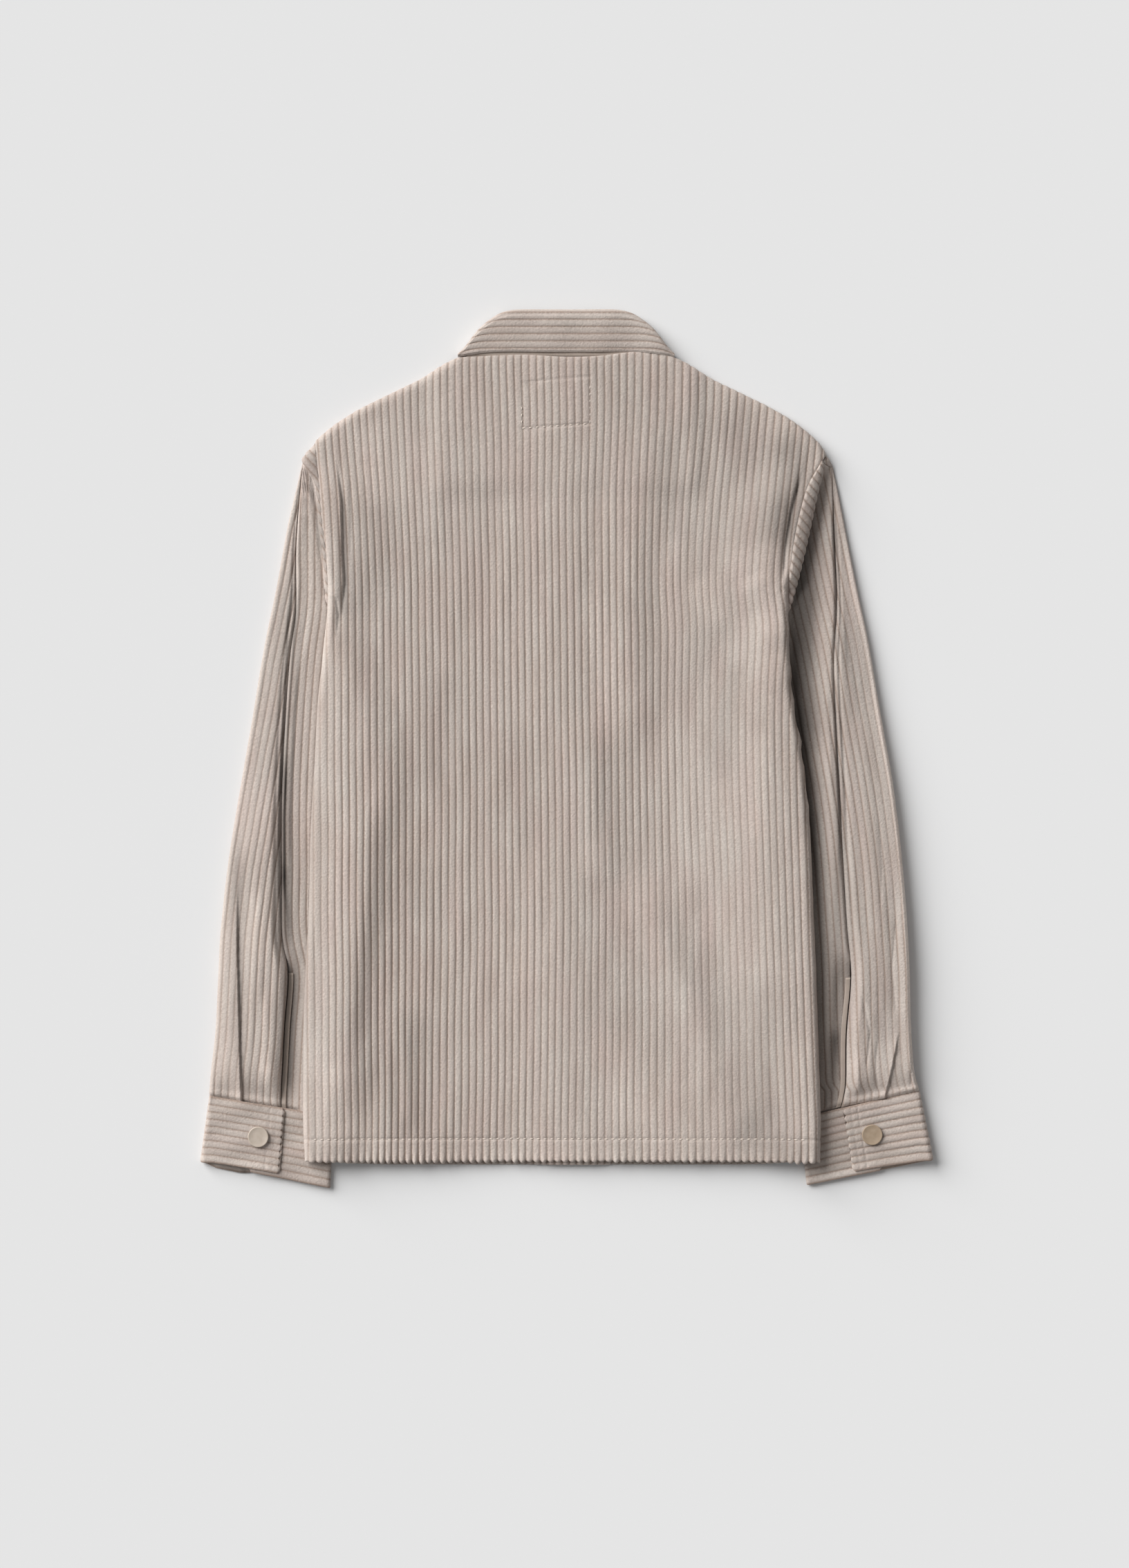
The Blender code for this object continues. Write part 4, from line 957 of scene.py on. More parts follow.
@dataclass
class BackPanel:
    """The back: one cut piece with a turned hem, rolled over the shoulders and the side edges."""

    hem_radius: float = 0.0012
    roll_radius: float = 0.0050
    edge_wave: float = 0.0009       # of the right side edge
    neck_drop: float = 0.0006
    unevenness: float = 0.24        # of the wales' height
    stitch_width: float = 0.0011
    stitch_depth: float = 0.0005
    label_left: float = -0.0405
    label_right: float = 0.0217
    label_low: tuple[float, float] = (0.292, 0.004)     # height at the left, and how far it climbs
    label_high: tuple[float, float] = (0.334, 0.005)

    def rows(self) -> list[BodyRow]:
        """All rows from the underside of the hem's fold up to the shoulder seam, denser along stitches."""
        low = HEM_Y + HEM_DEPTH
        hem = np.concatenate((
            np.linspace(self.hem_radius, HEM_DEPTH - 0.004, 5), HEM_DEPTH + 0.0012 * np.arange(-2, 3),
        ))
        label = np.concatenate((np.arange(0.2905, 0.2985, 0.0011), np.arange(0.3325, 0.341, 0.0012)))
        shares = np.concatenate((
            np.linspace(0.008, 1.0, 92), np.linspace(0.735, 0.80, 14),
            (label - low) / (NECK_Y - SHOULDER_ROLL - low),
        ))
        rows = turned_rows(RowKind.FOLD, (-90, -60, -30, 0, 30, 60)) + placed_rows(RowKind.HEM, hem)
        rows += placed_rows(RowKind.SHARE, np.unique(np.round(shares, 4)))
        return rows + turned_rows(RowKind.ROLL, (14, 28, 42, 56, 70, 82, 90))

    def stitched(self, x: Array, y: Array) -> Array:
        """How far stitching presses the pile down, 0 to 1."""
        press = bell(y - HEM_Y - HEM_DEPTH, self.stitch_width) * 0.62
        share = (x - self.label_left) / (self.label_right - self.label_left)
        inside = rise(x - self.label_left, -0.002, 0.002) * descend(x, self.label_right + 0.002, 0.002)
        for (start, climb), force in ((self.label_low, 0.6), (self.label_high, 0.4)):
            line = start + climb * share
            press = np.maximum(press, inside * force * bell(y - line, self.stitch_width))
        return press

    def surface(self, q: Array, row: BodyRow, ends: tuple[float, float]) -> tuple[Array, Array]:
        """Points of the ground cloth along a row, and its outward directions.

        Args:
            q: Places across the row, unrolled at the edges.
            row: The row.
            ends: X of the body's edges where the row meets them.

        Returns:
            Points and outward directions, each as a column of vectors.
        """
        starts, angles = self.roll_starts(row, ends)
        flat = np.clip(q, *starts)
        side = side_of(q - (starts[0] + starts[1]) / 2)
        turn = np.minimum(by_side(side, *angles), np.abs(q - flat) / self.roll_radius)
        x = flat + side * SIDE_ROLL * np.sin(turn)
        y = row.y_at(x, self.hem_radius)
        wavy = self.edge_wave * below_underarm(y) * mix(0.2, 1.0, rise(y, -0.090, 0.050)) * (side > 0)
        x = x + side * wavy * wander(0.0 * y, y, 91, 0.020) * np.sin(turn)
        z = back_ground(flat, y)
        along = 0.0
        up = np.cos(turn)
        if row.kind is RowKind.ROLL:
            shoulder = on_shoulder(flat)
            over = 1 - math.cos(row.value)
            z = z - (z - SHOULDER_EDGE_Z) * over * shoulder
            z = z - self.neck_drop * over * (1 - shoulder)
            along = math.sin(row.value) * shoulder
            up = np.cos(row.value * shoulder) + np.cos(turn) - 1
        if row.kind is RowKind.FOLD:
            z = z - self.hem_radius * (1 - math.sin(row.value))
            along = -math.cos(row.value)
            up = math.sin(row.value) + np.cos(turn) - 1
        z = z - edge_drop(z) * (1 - np.cos(turn))
        return joined(x, y, z), unit(joined(side * np.sin(turn), along, up))

    def roll_starts(
        self, row: BodyRow, ends: tuple[float, float]
    ) -> tuple[tuple[float, ...], tuple[float, ...]]:
        """Where a row starts to roll over at each side, and how far it rolls."""
        starts = []
        angles = []
        for side, end in zip(Side, ends):
            angles.append(float(side_angle(side.value, row.y_at(np.array(end), self.hem_radius))))
            starts.append(end - side.value * SIDE_ROLL * math.sin(angles[-1]))
        return tuple(starts), tuple(angles)

    def row_points(self, at: int, row: BodyRow, step: int, inset: float) -> Row:
        """One row of the shell.

        Args:
            at: The row's number.
            row: The row.
            step: Columns to pass over; 1 is the dense outside.
            inset: How far under the ground cloth it lies; 0 is the outside with its wales.

        Returns:
            The row with its points and cloth coordinates.
        """
        ends = tuple(row.end(side.value, self.hem_radius) for side in Side)
        starts, angles = self.roll_starts(row, ends)
        q = np.linspace(
            starts[0] - self.roll_radius * angles[0], starts[1] + self.roll_radius * angles[1], 2400
        )
        phase = np.maximum.accumulate(body_phase(q, row.y_at(np.clip(q, *ends), self.hem_radius)))
        keys = column_keys(phase, step)
        place = np.interp(keys, phase, q)
        points, normal = self.surface(place, row, ends)
        if inset:
            points = points - normal * inset
        else:
            at_hem = descend(points[:, 1], HEM_Y + 0.009, 0.008)
            raised = self.pile(points[:, 0], points[:, 1]) * mix(wale(keys), lobe(keys), at_hem)
            raised *= 1 + self.unevenness * wander(np.floor(keys) * 0.11, points[:, 1], 11, 0.09)
            raised *= rise(place, q[0], 0.0015) * descend(place, q[-1], 0.0015)
            raised *= 1 + 0.6 * at_hem
            if row.kind is RowKind.FOLD:
                raised *= 1 + 0.7 * math.cos(row.value)
            if row.kind is RowKind.ROLL:
                at_neck = math.cos(row.value) ** 0.55
                raised *= mix(at_neck, descend(row.value, 1.62, 0.3), on_shoulder(place))
            points = points + normal * raised[:, None]
            points[:, 2] -= self.stitch_depth * self.stitched(points[:, 0], points[:, 1])
        run = points[:, 1] + (0.006 * row.value if row.kind is RowKind.ROLL else 0.0)
        return Row(float(at), keys, points, joined(keys, run))

    def build(self) -> bpy.types.Object:
        """The finished back."""
        rows = self.rows()
        outer = [self.row_points(k, row, 1, 0.0) for k, row in enumerate(rows)]
        turned = rows.index(next(row for row in rows if row.kind is RowKind.SHARE))
        inner = [self.row_points(0, BodyRow(RowKind.HEM, HEM_DEPTH - 0.0012), 4, 2 * self.hem_radius)]
        inner += [
            self.row_points(k, rows[k], 4, GROUND)
            for k in range(turned, len(rows)) if k % 2 == 0 or k == len(rows) - 1
        ]
        return Shell().wall(outer, inner).to_object("back_panel", BACK_PAINTED_LIGHT, BACK_WORN)

    def pile(self, x: Array, y: Array) -> Array:
        """Height of the wales above the ground cloth, less where they are worn or stitched down."""
        return WALE_HEIGHT * (1 - zone_share(BACK_WORN, x, y)) * (1 - self.stitched(x, y))

    def height(self, x: Array, y: Array) -> Array:
        """Height of the outside along its stitches, away from rolled edges."""
        return back_ground(x, y) + self.pile(x, y) * wale(body_phase(x, y)) - 0.0002


# Fronts

@dataclass
class FrontPanel:
    """One front, pressed flat on the floor and over what is tucked below it."""

    side: Side
    hem_y: float = -0.3785
    neck_y: float = 0.2900
    lap_half: float = 0.0175
    swell: float = 0.0007           # how far the ends of the wales scallop its hem
    sleeve_high: float = 0.0047
    cuff_high: float = 0.0076
    leaf_high: float = 0.0021       # of the collar
    snap_high: float = 0.0022
    lap_high: float = 0.0042

    def stack_lift(self, x: Array, y: Array) -> Array:
        """Height of the underside over the tucked sleeve, the cuff and the collar's front leaf."""
        reach = np.abs(x) - np.abs(inner_edge(side_of(x), y))
        tucked = rise(reach, -0.040, 0.028) * below_underarm(y)
        lift = mix(self.sleeve_high, self.cuff_high, over_cuff(y))
        return np.maximum(lift * tucked, self.leaf_high * over_collar(x, y))

    def lap_lift(self, x: Array) -> Array:
        """Height of the closure: the left one stands on its snaps, the right one lies on the left."""
        if self.side is Side.LEFT:
            return self.snap_high * rise(x, -0.038, 0.018)
        return self.lap_high * descend(x, 0.050, 0.028)

    def place(self, column: Array, row: BodyRow, fold: float) -> tuple[Array, Array]:
        """Plan of a row: column 0 is the side edge and 1 the closure's edge."""
        side = self.side.value
        hem = mix(HEM_Y, self.hem_y, ramp(column / 0.3))
        gap = SEAM * ramp(column / 0.05)
        y = np.full(len(column), UNDERARM_Y)
        for _ in range(30):
            x = mix(body_edge(side, y), -side * self.lap_half, column)
            neck = mix(self.neck_y, NECK_Y, np.abs(x) / NECK_HALF)
            top = np.where(np.abs(x) > NECK_HALF, SHOULDER(np.abs(x)), neck) - gap
            y = 0.5 * (y + row.level(hem, top, fold))
        return mix(body_edge(side, y), -side * self.lap_half, column), y

    def row_points(self, at: int, row: BodyRow, columns: Array, inside: bool) -> Row:
        """One row of the underside, or of the inside above it.

        Args:
            at: The row's number.
            row: The row.
            columns: Shares across the front.
            inside: Whether it is the upper, inner face.

        Returns:
            The row with its points and cloth coordinates.
        """
        side = self.side.value
        fold = FLOOR_CLOTH / 2
        x, y = self.place(columns, row, fold)
        z = np.maximum(self.stack_lift(x, y), self.lap_lift(x))
        near = np.clip(1 - np.abs(x - body_edge(side, y)) / SIDE_ROLL, 0.0, 1.0)
        roll = below_underarm(y) * near
        inward = joined(-side * roll, 0.0, 1 - roll)
        z = z + (rolled_edge(side, y, False) - SEAM - z) * (1 - np.sqrt(1 - roll * roll))
        if row.kind is RowKind.ROLL:
            over = rise(np.abs(x), NECK_HALF, 0.012) * math.sin(row.value)
            lift = np.maximum(0.0, SHOULDER_EDGE_Z - SEAM - z)
            z = z + lift * (1 - np.sqrt(np.maximum(0.0, 1 - over ** 2)))
            inward = inward + joined(-side * 0.6 * over * near, -over, -0.9 * over)
        points = joined(x, y, z)
        phase = body_phase(x, np.zeros(len(x)))
        if row.kind is RowKind.FOLD:
            # The hem's fold, scalloped by the ends of its wales
            swell = self.swell * wale(phase) * ramp(columns / 0.05)
            points[:, 1] -= swell * math.cos(row.value)
            points[:, 2] += fold * (1 + math.sin(row.value)) + swell * max(0.0, math.sin(row.value))
        elif inside:
            points = points + unit(inward) * FLOOR_CLOTH
        return Row(float(at), columns, points, joined(phase, y))

    def build(self) -> bpy.types.Object:
        """The finished front."""
        wide = abs(float(body_edge(self.side.value, 0.27))) + self.lap_half
        dense = np.linspace(0.0, 1.0, int(wide / PITCH * 6))
        shares = np.unique(np.concatenate((np.linspace(0.0, 0.06, 7), np.linspace(0.06, 1.0, 44))))
        fold = turned_rows(RowKind.FOLD, (-90, -45, 0, 45, 90))
        body = placed_rows(RowKind.HEM, (0.004, HEM_DEPTH))
        body += placed_rows(RowKind.SHARE, np.linspace(0.03, 1.0, 46))
        body += turned_rows(RowKind.ROLL, (20, 40, 60, 78, 90))
        inner = [self.row_points(k, row, dense, True) for k, row in enumerate(fold[1:])]
        outer = [self.row_points(0, fold[0], dense, False)]
        for k, row in enumerate(body):
            inner.append(self.row_points(k + len(fold), row, shares, True))
            outer.append(self.row_points(k + len(fold), row, shares, False))
        return Shell().wall(outer, inner).to_object("front_panel_" + self.side.label)


# Sleeves

@dataclass(frozen=True)
class SleeveRow:
    """A line across a sleeve: its outer end, the height of its inner end, and its seam's share of the way."""

    outer_x: float
    outer_y: float
    inner_y: float
    seam: float


# Painted light and shade on the sleeves, as soft zones of lightness
SLEEVE_PAINTED_LIGHT = (
    # Right: painted shadow in the gap beside the body, painted shade along the seam's lines and on the outer
    # strip, and painted light on its rim and above the cuff
    Crease(
        ((245, 262), (232, 208), (222, 150), (216, 60), (224, -50), (231, -180), (236, -345)), -0.40, 10.0,
    ),
    Crease(((238, 250), (222, 208), (211, 150), (207, 60), (217, -40), (225, -160)), -0.50, 7.0),
    Crease(((243, 78), (246, 5), (248, -61), (249.5, -130)), -0.36, 1.6),
    Crease(((238, 60), (241, 5), (244, -50)), -0.26, 1.4),
    Crease(((247, 70), (251, 0), (253, -70), (254, -116)), -0.28, 1.5),
    Crease(((241, 230), (244, 150), (247, 60)), -0.30, 1.3),
    Crease(((246, 222), (249, 150), (251.5, 70)), -0.30, 1.3),
    Crease(((250, 200), (253, 130), (256, 60)), -0.26, 1.3),
    Crease(((248, 190), (256, 60), (258, -60), (258, -160), (262, -310)), -0.17, 13.0),
    Crease(
        ((248, 230), (262, 147), (274, 97), (285, 34), (297, -36), (305.5, -105), (310, -165),
         (313.5, -250), (319, -340)),
        0.40, 4.6,
    ),
    Crease(((224, 170), (222, 110), (222, 60), (229, -10)), -0.30, 10.0),
    Crease(((245, -250), (243, -290), (241, -335)), -0.38, 6.0),
    Crease(((252, -324), (280, -316), (318, -308)), 0.24, 7.0),
    Crease(((245, 20), (247, -90), (246, -180), (245, -320)), -0.27, 5.0),
    Crease(((253, -90), (254, -200), (255, -310)), -0.12, 8.0),
    Crease(((281, -50), (282, -170), (280, -300)), -0.10, 12.0),
    # Left: painted shade along the seam's lines, painted shadow in the gap at the armhole and in the slit,
    # painted shade before the pleat, and painted light on the strips between
    Crease(((-233, 170), (-247, 60), (-257, -80), (-259, -180)), -0.05, 8.0),
    Crease(((-238, 270), (-237, 190), (-236, 90), (-240, 0), (-243, -120)), 0.13, 8.0),
    Crease(((-252, 170), (-261, 60), (-266, 0), (-267, -60)), -0.17, 9.0),
    Crease(((-278, -120), (-277, -220), (-269, -330)), 0.16, 9.0),
    Crease(((-312, -312), (-280, -317), (-260, -322)), 0.28, 8.0),
    Crease(((-272, -284), (-267, -318)), 0.22, 6.0),
    Crease(((-249.5, -206), (-253, -250), (-256, -285), (-258.5, -324)), -0.50, 1.6),
    Crease(((-246, 173), (-253.6, 117), (-258, 20), (-262, -61), (-262.5, -124), (-258, -170)), -0.48, 1.4),
    Crease(((-241, 165), (-248, 100), (-253.5, 20), (-257, -61), (-257, -124), (-254, -160)), -0.52, 1.4),
    Crease(((-243, 90), (-248.5, 20), (-251.5, -61), (-251.5, -124)), -0.40, 1.3),
    Crease(((-255, 10), (-256, -40), (-256, -128), (-254, -196)), -0.36, 4.6),
    Crease(((-255.5, -100), (-255, -140), (-254, -196)), -0.24, 4.6),
    Crease(((-234, 252), (-230, 226), (-226, 196), (-221, 172)), -0.50, 2.2),
    Crease(((-250, -190), (-252, -240), (-253, -270), (-254, -320)), -0.50, 5.0),
    Crease(((-299, -70), (-299, -180), (-297, -320)), -0.32, 6.5),
)
# Strips beside the outer folds, where the pile is rubbed low
SLEEVE_WORN = (
    Crease(((-256, 230), (-276, 60), (-294, -60), (-302, -180), (-306, -420)), 0.42, 20.0),
    Crease(((262, 170), (284, 40), (298, -60), (304, -170)), 0.42, 20.0),
    Crease(((298, -220), (300, -290), (304, -380)), 0.36, 20.0),
)
LEFT_SLEEVE = (
    SleeveRow(-0.2535, 0.205, 0.122, 0.20), SleeveRow(-0.2640, 0.147, 0.093, 0.30),
    SleeveRow(-0.2745, 0.097, 0.060, 0.27), SleeveRow(-0.2850, 0.034, 0.010, 0.26),
    SleeveRow(-0.2970, -0.036, -0.050, 0.30), SleeveRow(-0.3080, -0.105, -0.115, 0.363),
    SleeveRow(-0.3145, -0.165, -0.172, 0.41), SleeveRow(-0.3165, -0.200, -0.208, 0.475),
    SleeveRow(-0.3190, -0.250, -0.262, 0.492), SleeveRow(-0.3235, -0.295, -0.312, 0.548),
    SleeveRow(-0.3255, -0.3165, -0.335, 0.583),
)
RIGHT_SLEEVE = (
    SleeveRow(0.2535, 0.205, 0.122, 0.18), SleeveRow(0.2648, 0.147, 0.093, 0.24),
    SleeveRow(0.2755, 0.097, 0.060, 0.30), SleeveRow(0.2860, 0.034, 0.010, 0.318),
    SleeveRow(0.2980, -0.036, -0.050, 0.354), SleeveRow(0.3060, -0.105, -0.115, 0.378),
    SleeveRow(0.3105, -0.165, -0.172, 0.388), SleeveRow(0.3125, -0.205, -0.213, 0.385),
    SleeveRow(0.3135, -0.250, -0.262, 0.444), SleeveRow(0.3165, -0.292, -0.312, 0.52),
    SleeveRow(0.3215, -0.3110, -0.337, 0.61),
)
LEFT_SLEEVE_CREASES = (
    Crease(((-241, 252), (-236, 247), (-230, 243)), -1.8, 2.2),
    Crease(((-241, 241), (-236, 235), (-229, 230)), -1.4, 2.6),
    Crease(((-243, 226), (-236, 214), (-232, 198)), -0.8, 4.0),
    Crease(((-232, 250), (-228.5, 226), (-226, 196), (-222, 166)), -2.6, 2.4, True),
    Crease(((-237, 214), (-237, 150), (-243, 80)), -0.9, 6.0),
    Crease(((-282, 20), (-289, -70), (-296, -140)), 0.9, 9.0),
    Crease(((-276, -120), (-283, -200), (-288, -280)), 0.8, 7.0),
    Crease(((-308, -210), (-309, -270), (-311, -312)), 0.8, 6.0),
    Crease(((-272, -220), (-273, -270), (-272, -312)), 0.7, 5.0),
)
RIGHT_SLEEVE_CREASES = (
    Crease(((236, 244), (230, 216), (223, 180), (214, 136)), -2.2, 7.0),
    Crease(((254, 196), (264, 120), (274, 50)), 1.0, 8.0),
    Crease(((266, 40), (272, -40), (282, -120), (288, -190)), 0.9, 9.0),
    Crease(((262, -60), (268, -130), (272, -190)), -0.8, 6.0),
    Crease(((296, -120), (299, -190), (298, -250)), -0.7, 7.0),
    Crease(((276, -230), (274, -276), (274, -312)), 0.8, 6.0),
    Crease(((309, -220), (311, -270), (315, -306)), 0.7, 5.0),
    Crease(((268, -222), (276, -258), (272, -296)), -1.1, 2.2, True),
    Crease(((283, -262), (281, -290), (284, -312)), -0.8, 2.0, True),
    Crease(((317, -262), (314, -288), (313, -310)), -1.0, 2.2, True),
    Crease(((264, -280), (266, -300), (266, -316)), 0.9, 3.4),
    Crease(((300, -150), (296, -200), (300, -246)), -0.9, 3.0, True),
    Crease(((284, -60), (287, -110), (285, -150)), -0.6, 2.6, True),
)


@dataclass
class Sleeve:
    """One sleeve: a sheet wrapped round and closed along its back seam, open at the vent above the cuff."""

    side: Side
    table: tuple[SleeveRow, ...]
    creases: tuple[Crease, ...]
    pleat: Pleat
    tip: tuple[float, float]            # the cap's outer end
    rim_z: float                        # height of the cap's rim
    seam_z: float                       # height along the seam
    body_z: float                       # height beside the body
    crown_z: float                      # height between seam and outer edge
    reach: float                        # how far it takes from the seam to the crown
    outer_drop: float                   # how far the outer edge lies below the crown, as a share
    outer_cuff_z: float                 # height where the outer fold runs into the cuff
    fold: float = 0.5                   # half width of the outer fold, as a share of its height
    shoulder_drop: float = 0.0          # the same share as outer_drop, near the shoulder
    shoulder_seam_z: float = 0.0070
    tucked_z: float = 0.0026
    cuff_z: float = 0.0066
    vent_z: float = 0.0030
    slit_z: float = 0.0118
    rim_end_z: float = 0.0050           # height of the cap's rim at the underarm
    armhole_end_z: float = 0.0062
    lowest_z: float = 0.0022
    cap_width: float = 0.0110
    seam_depth: float = 0.0019
    fullness: float = 0.58              # how far the crown swells towards the cuff
    slit_row: float = 6.6               # the vent is open from this row down
    row_step: float = 0.022             # about the length between the last rows
    first_wale: float = 200.0
    side_wales: float = 60.0

    def __post_init__(self) -> None:
        """Curves along the sleeve's rows, and its outer edge and seam by height."""
        self.last = len(self.table) - 1
        self.outer_x, self.outer_y, self.inner_y = (
            SoftCurve([(k, getattr(row, name)) for k, row in enumerate(self.table)])
            for name in ("outer_x", "outer_y", "inner_y")
        )
        self.seam = SoftCurve([(-2, 0.05), (-1, 0.10)] + [(k, row.seam) for k, row in enumerate(self.table)])
        past = 0.04
        slope = (self.tip[0] - self.table[0].outer_x) / (self.tip[1] - self.table[0].outer_y)
        edge = [(row.outer_y, row.outer_x) for row in self.table] + [self.tip[::-1]]
        self.outer_edge = SoftCurve(edge + [(self.tip[1] + past, self.tip[0] + slope * past)])
        shoulder = BodyRow(RowKind.ROLL, QUARTER)
        self.tip_y = shoulder.y_at(np.array(shoulder.end(self.side.value))) - 2 * SEAM
        seam = [self.line(float(k), np.array(row.seam)) for k, row in enumerate(self.table)]
        self.seam_x = SoftCurve([(float(place[1]), float(place[0])) for place in seam])

    def __hash__(self) -> int:
        """One hash for each side, for the cached row lengths."""
        return hash(self.side)

    def armhole(self, f: Array, clear_tip: float, clear_end: float) -> Array:
        """Plan points along the armhole, outside it."""
        y = mix(self.tip_y, UNDERARM_Y, f)
        return joined(body_edge(self.side.value, y) + self.side.value * mix(clear_tip, clear_end, f), y)

    def under_back(self, f: Array) -> Array:
        """How far the upper edge goes under the back along the armhole, 0 at its two ends."""
        return rise(f, 0.08, 0.12) * descend(f, 0.92, 0.10)

    def line(self, k: float, f: Array) -> Array:
        """Plan of a row: -2 is the armhole, -1 the cap's rim, then the table's rows; f is 0 outside."""
        f = np.asarray(f, dtype=float)
        start = np.array((self.outer_x(max(k, 0.0)), self.outer_y(max(k, 0.0))))
        inner_y = self.inner_y(max(k, 0.0))
        stop = np.array((float(inner_edge(self.side.value, inner_y)), float(inner_y)))
        row = start + (stop - start) * f[..., None]
        if k >= 0:
            return row
        near_tip = ramp(1 - f / 0.35)[..., None]
        rim = mix(self.armhole(f, self.cap_width, 0.0026), np.array(self.tip), near_tip)
        if k >= -1:
            return mix(rim, row, k + 1)
        return mix(self.armhole(f, 0.0004, 0.0007), rim, k + 2)

    @lru_cache(maxsize=None)
    def row_length(self, k: float) -> float:
        """Length of a row's plan line."""
        points = self.line(k, np.linspace(0.0, 1.0, 40))
        return float(np.hypot(*np.diff(points, axis=0).T).sum())

    def from_seam(self, k: float, f: Array) -> Array:
        """How far points of a row lie from the seam."""
        return np.abs(f - self.seam(k)) * self.row_length(k)

    def from_body(self, x: Array, y: Array) -> Array:
        """How far points lie outside the body's edge."""
        return np.abs(x) - np.abs(body_edge(self.side.value, y))

    def to_cuff(self, k: float) -> float:
        """About how far a row lies above the cuff."""
        return (self.last - k) * self.row_step

    def height(self, k: float, f: Array, place: Array, outer_strip: bool) -> Array:
        """Ground height of the upper layer, with its swell, creases, seam and pleat.

        Args:
            k: Row, from -2 at the armhole.
            f: Shares across, 0 at the outer edge.
            place: Plan points.
            outer_strip: Whether it is the strip between seam and outer edge.

        Returns:
            Heights.
        """
        x, y = place[..., 0], place[..., 1]
        beside = self.from_body(x, y)
        away = self.from_seam(k, f)
        seam_z = mix(self.shoulder_seam_z, self.seam_z, ramp(k / 3.0))
        opened = ramp((k - self.slit_row + 0.3) / 0.9)
        if outer_strip:
            to_edge = beside - (np.abs(self.outer_edge(y)) - np.abs(body_edge(self.side.value, y)))
            uneven = 1 + 0.07 * wander(x, y, 21 + self.side.value, 0.16)
            fuller = self.crown_z * (1 + self.fullness * rise(k, 2.0, 6.0))
            row = mix(mix(seam_z, self.slit_z, opened), fuller * uneven, ramp(away / self.reach))
            drop = max(self.outer_drop, self.shoulder_drop * float(1 - ramp(k / 4.5)))
            row = row * (1 - drop * rise(to_edge, -0.034, 0.034))
            at_cuff = mix(self.outer_cuff_z, self.cuff_z, ramp(f / self.seam(k)))
            row = mix(row, at_cuff, ramp((k - self.last + 1.3) / 1.2))
        else:
            row = mix(seam_z, self.body_z, ramp(away / (away + np.maximum(beside, 0.0) + 1e-6)))
            row = mix(row, self.tucked_z, ramp(-beside / 0.006))
            row = mix(row, np.minimum(row, self.vent_z), opened * ramp(1.6 - away / 0.016))
        if k < 0:
            rim = mix(self.rim_z, self.rim_end_z, rise(f, 0.70, 0.30)) * mix(0.75, 1.0, ramp(f / 0.15))
            armhole = rolled_edge(self.side.value, y, True) - mix(0.0004, 0.0016, self.under_back(f))
            armhole = mix(armhole, self.armhole_end_z, rise(f, 0.86, 0.14))
            row = mix(rim, row, ramp(k + 1)) if k >= -1 else mix(armhole, rim, k + 2)
        clear = ramp(beside / 0.008)
        row = row + relief(self.creases, x, y) * clear
        row = row + self.pleat.height_at(x, y) * clear
        closed = descend(k, self.slit_row, 0.4) * rise(k, -1.2, 0.8)
        groove = self.seam_depth * bell(away, 0.0016) * closed
        if outer_strip:
            stitched = 0.5 * self.seam_depth * bell(away - 0.0050, 0.0013) * closed
            groove = groove + stitched + 0.0014 * bell(away, 0.0012) * (1 - closed) * (k > 0)
        puff = 0.0007 * bell(self.to_cuff(k) - 0.005, 0.0035) - 0.0016 * bell(self.to_cuff(k), 0.002)
        return np.maximum(row - groove + puff * clear, self.lowest_z)

    def phase(self, k: float, f: Array, radius: float) -> Array:
        """Number of the wale across a row: the wales run beside the outer edge."""
        place = self.line(k, f)
        x, y = place[..., 0], place[..., 1]
        slope = (self.outer_edge(y + 0.004) - self.outer_edge(y - 0.004)) / 0.008
        away = np.abs(x - self.outer_edge(y)) / np.sqrt(1 + slope * slope)
        rolled = np.minimum(f * self.row_length(k), radius)
        turn = np.arccos(np.clip(1 - rolled / radius, -1.0, 1.0))
        wobble = WALE_WOBBLE * wander(x, y, 31 + self.side.value, 0.09)
        return (away + radius * turn - rolled + wobble) / PITCH

    def strip(self, k: float, step: int, radius: float, outer_strip: bool) -> tuple[Array, Array]:
        """Shares across one strip of the upper layer at its columns.

        Args:
            k: Row.
            step: Columns to pass over; 1 is the dense outside.
            radius: Radius of the outer fold.
            outer_strip: Whether it is the strip between seam and outer edge.

        Returns:
            Shares from the seam to the outer edge or from the inner edge to the seam, and their wale numbers.
        """
        seam = float(self.seam(k))
        gap = 0.5 * SEAM / self.row_length(k)
        if outer_strip:
            fine = (seam - gap) * np.linspace(0.0, 1.0, 900) ** 2
        else:
            fine = np.linspace(seam + gap, 1 - 0.5 * self.tucked_z / self.row_length(k), 900)
        phase = np.maximum.accumulate(self.phase(k, fine, radius))
        if not outer_strip:
            # On the left, the wales of the inner strip run beside the seam
            place = self.line(k, fine)
            beside_seam = np.maximum.accumulate(np.abs(place[:, 0] - self.seam_x(place[:, 1]))) / PITCH
            turned = ramp((k + 2.0) / 0.8) if self.side is Side.LEFT else 0.0
            phase = 0.4 + mix(phase, beside_seam + 2.0, turned)
        phase = phase + np.arange(len(phase)) * 1e-9
        keys = column_keys(phase, step)
        return np.interp(keys, phase, fine)[::-1], keys[::-1]

    def row_points(self, at: int, k: float, step: int, inset: float) -> Row:
        """One row round the sleeve: seam, outer fold, floor, inner fold and back to the seam.

        Args:
            at: The row's number.
            k: Its place along the sleeve.
            step: Columns to pass over.
            inset: How far under the ground cloth it lies; 0 is the outside with its wales.

        Returns:
            The row with its points and cloth coordinates.
        """
        length = self.row_length(k)
        side = self.side.value
        outer_z, inner_z = (
            float(self.height(k, np.array([f]), self.line(k, np.array([f])), strip)[0])
            for f, strip in ((0.04, True), (0.97, False))
        )
        outer_r = min(self.fold * outer_z, 0.4 * float(self.seam(k)) * length)
        inner_r = 0.5 * inner_z
        # Groups of points with keys that grow along the row
        groups = []

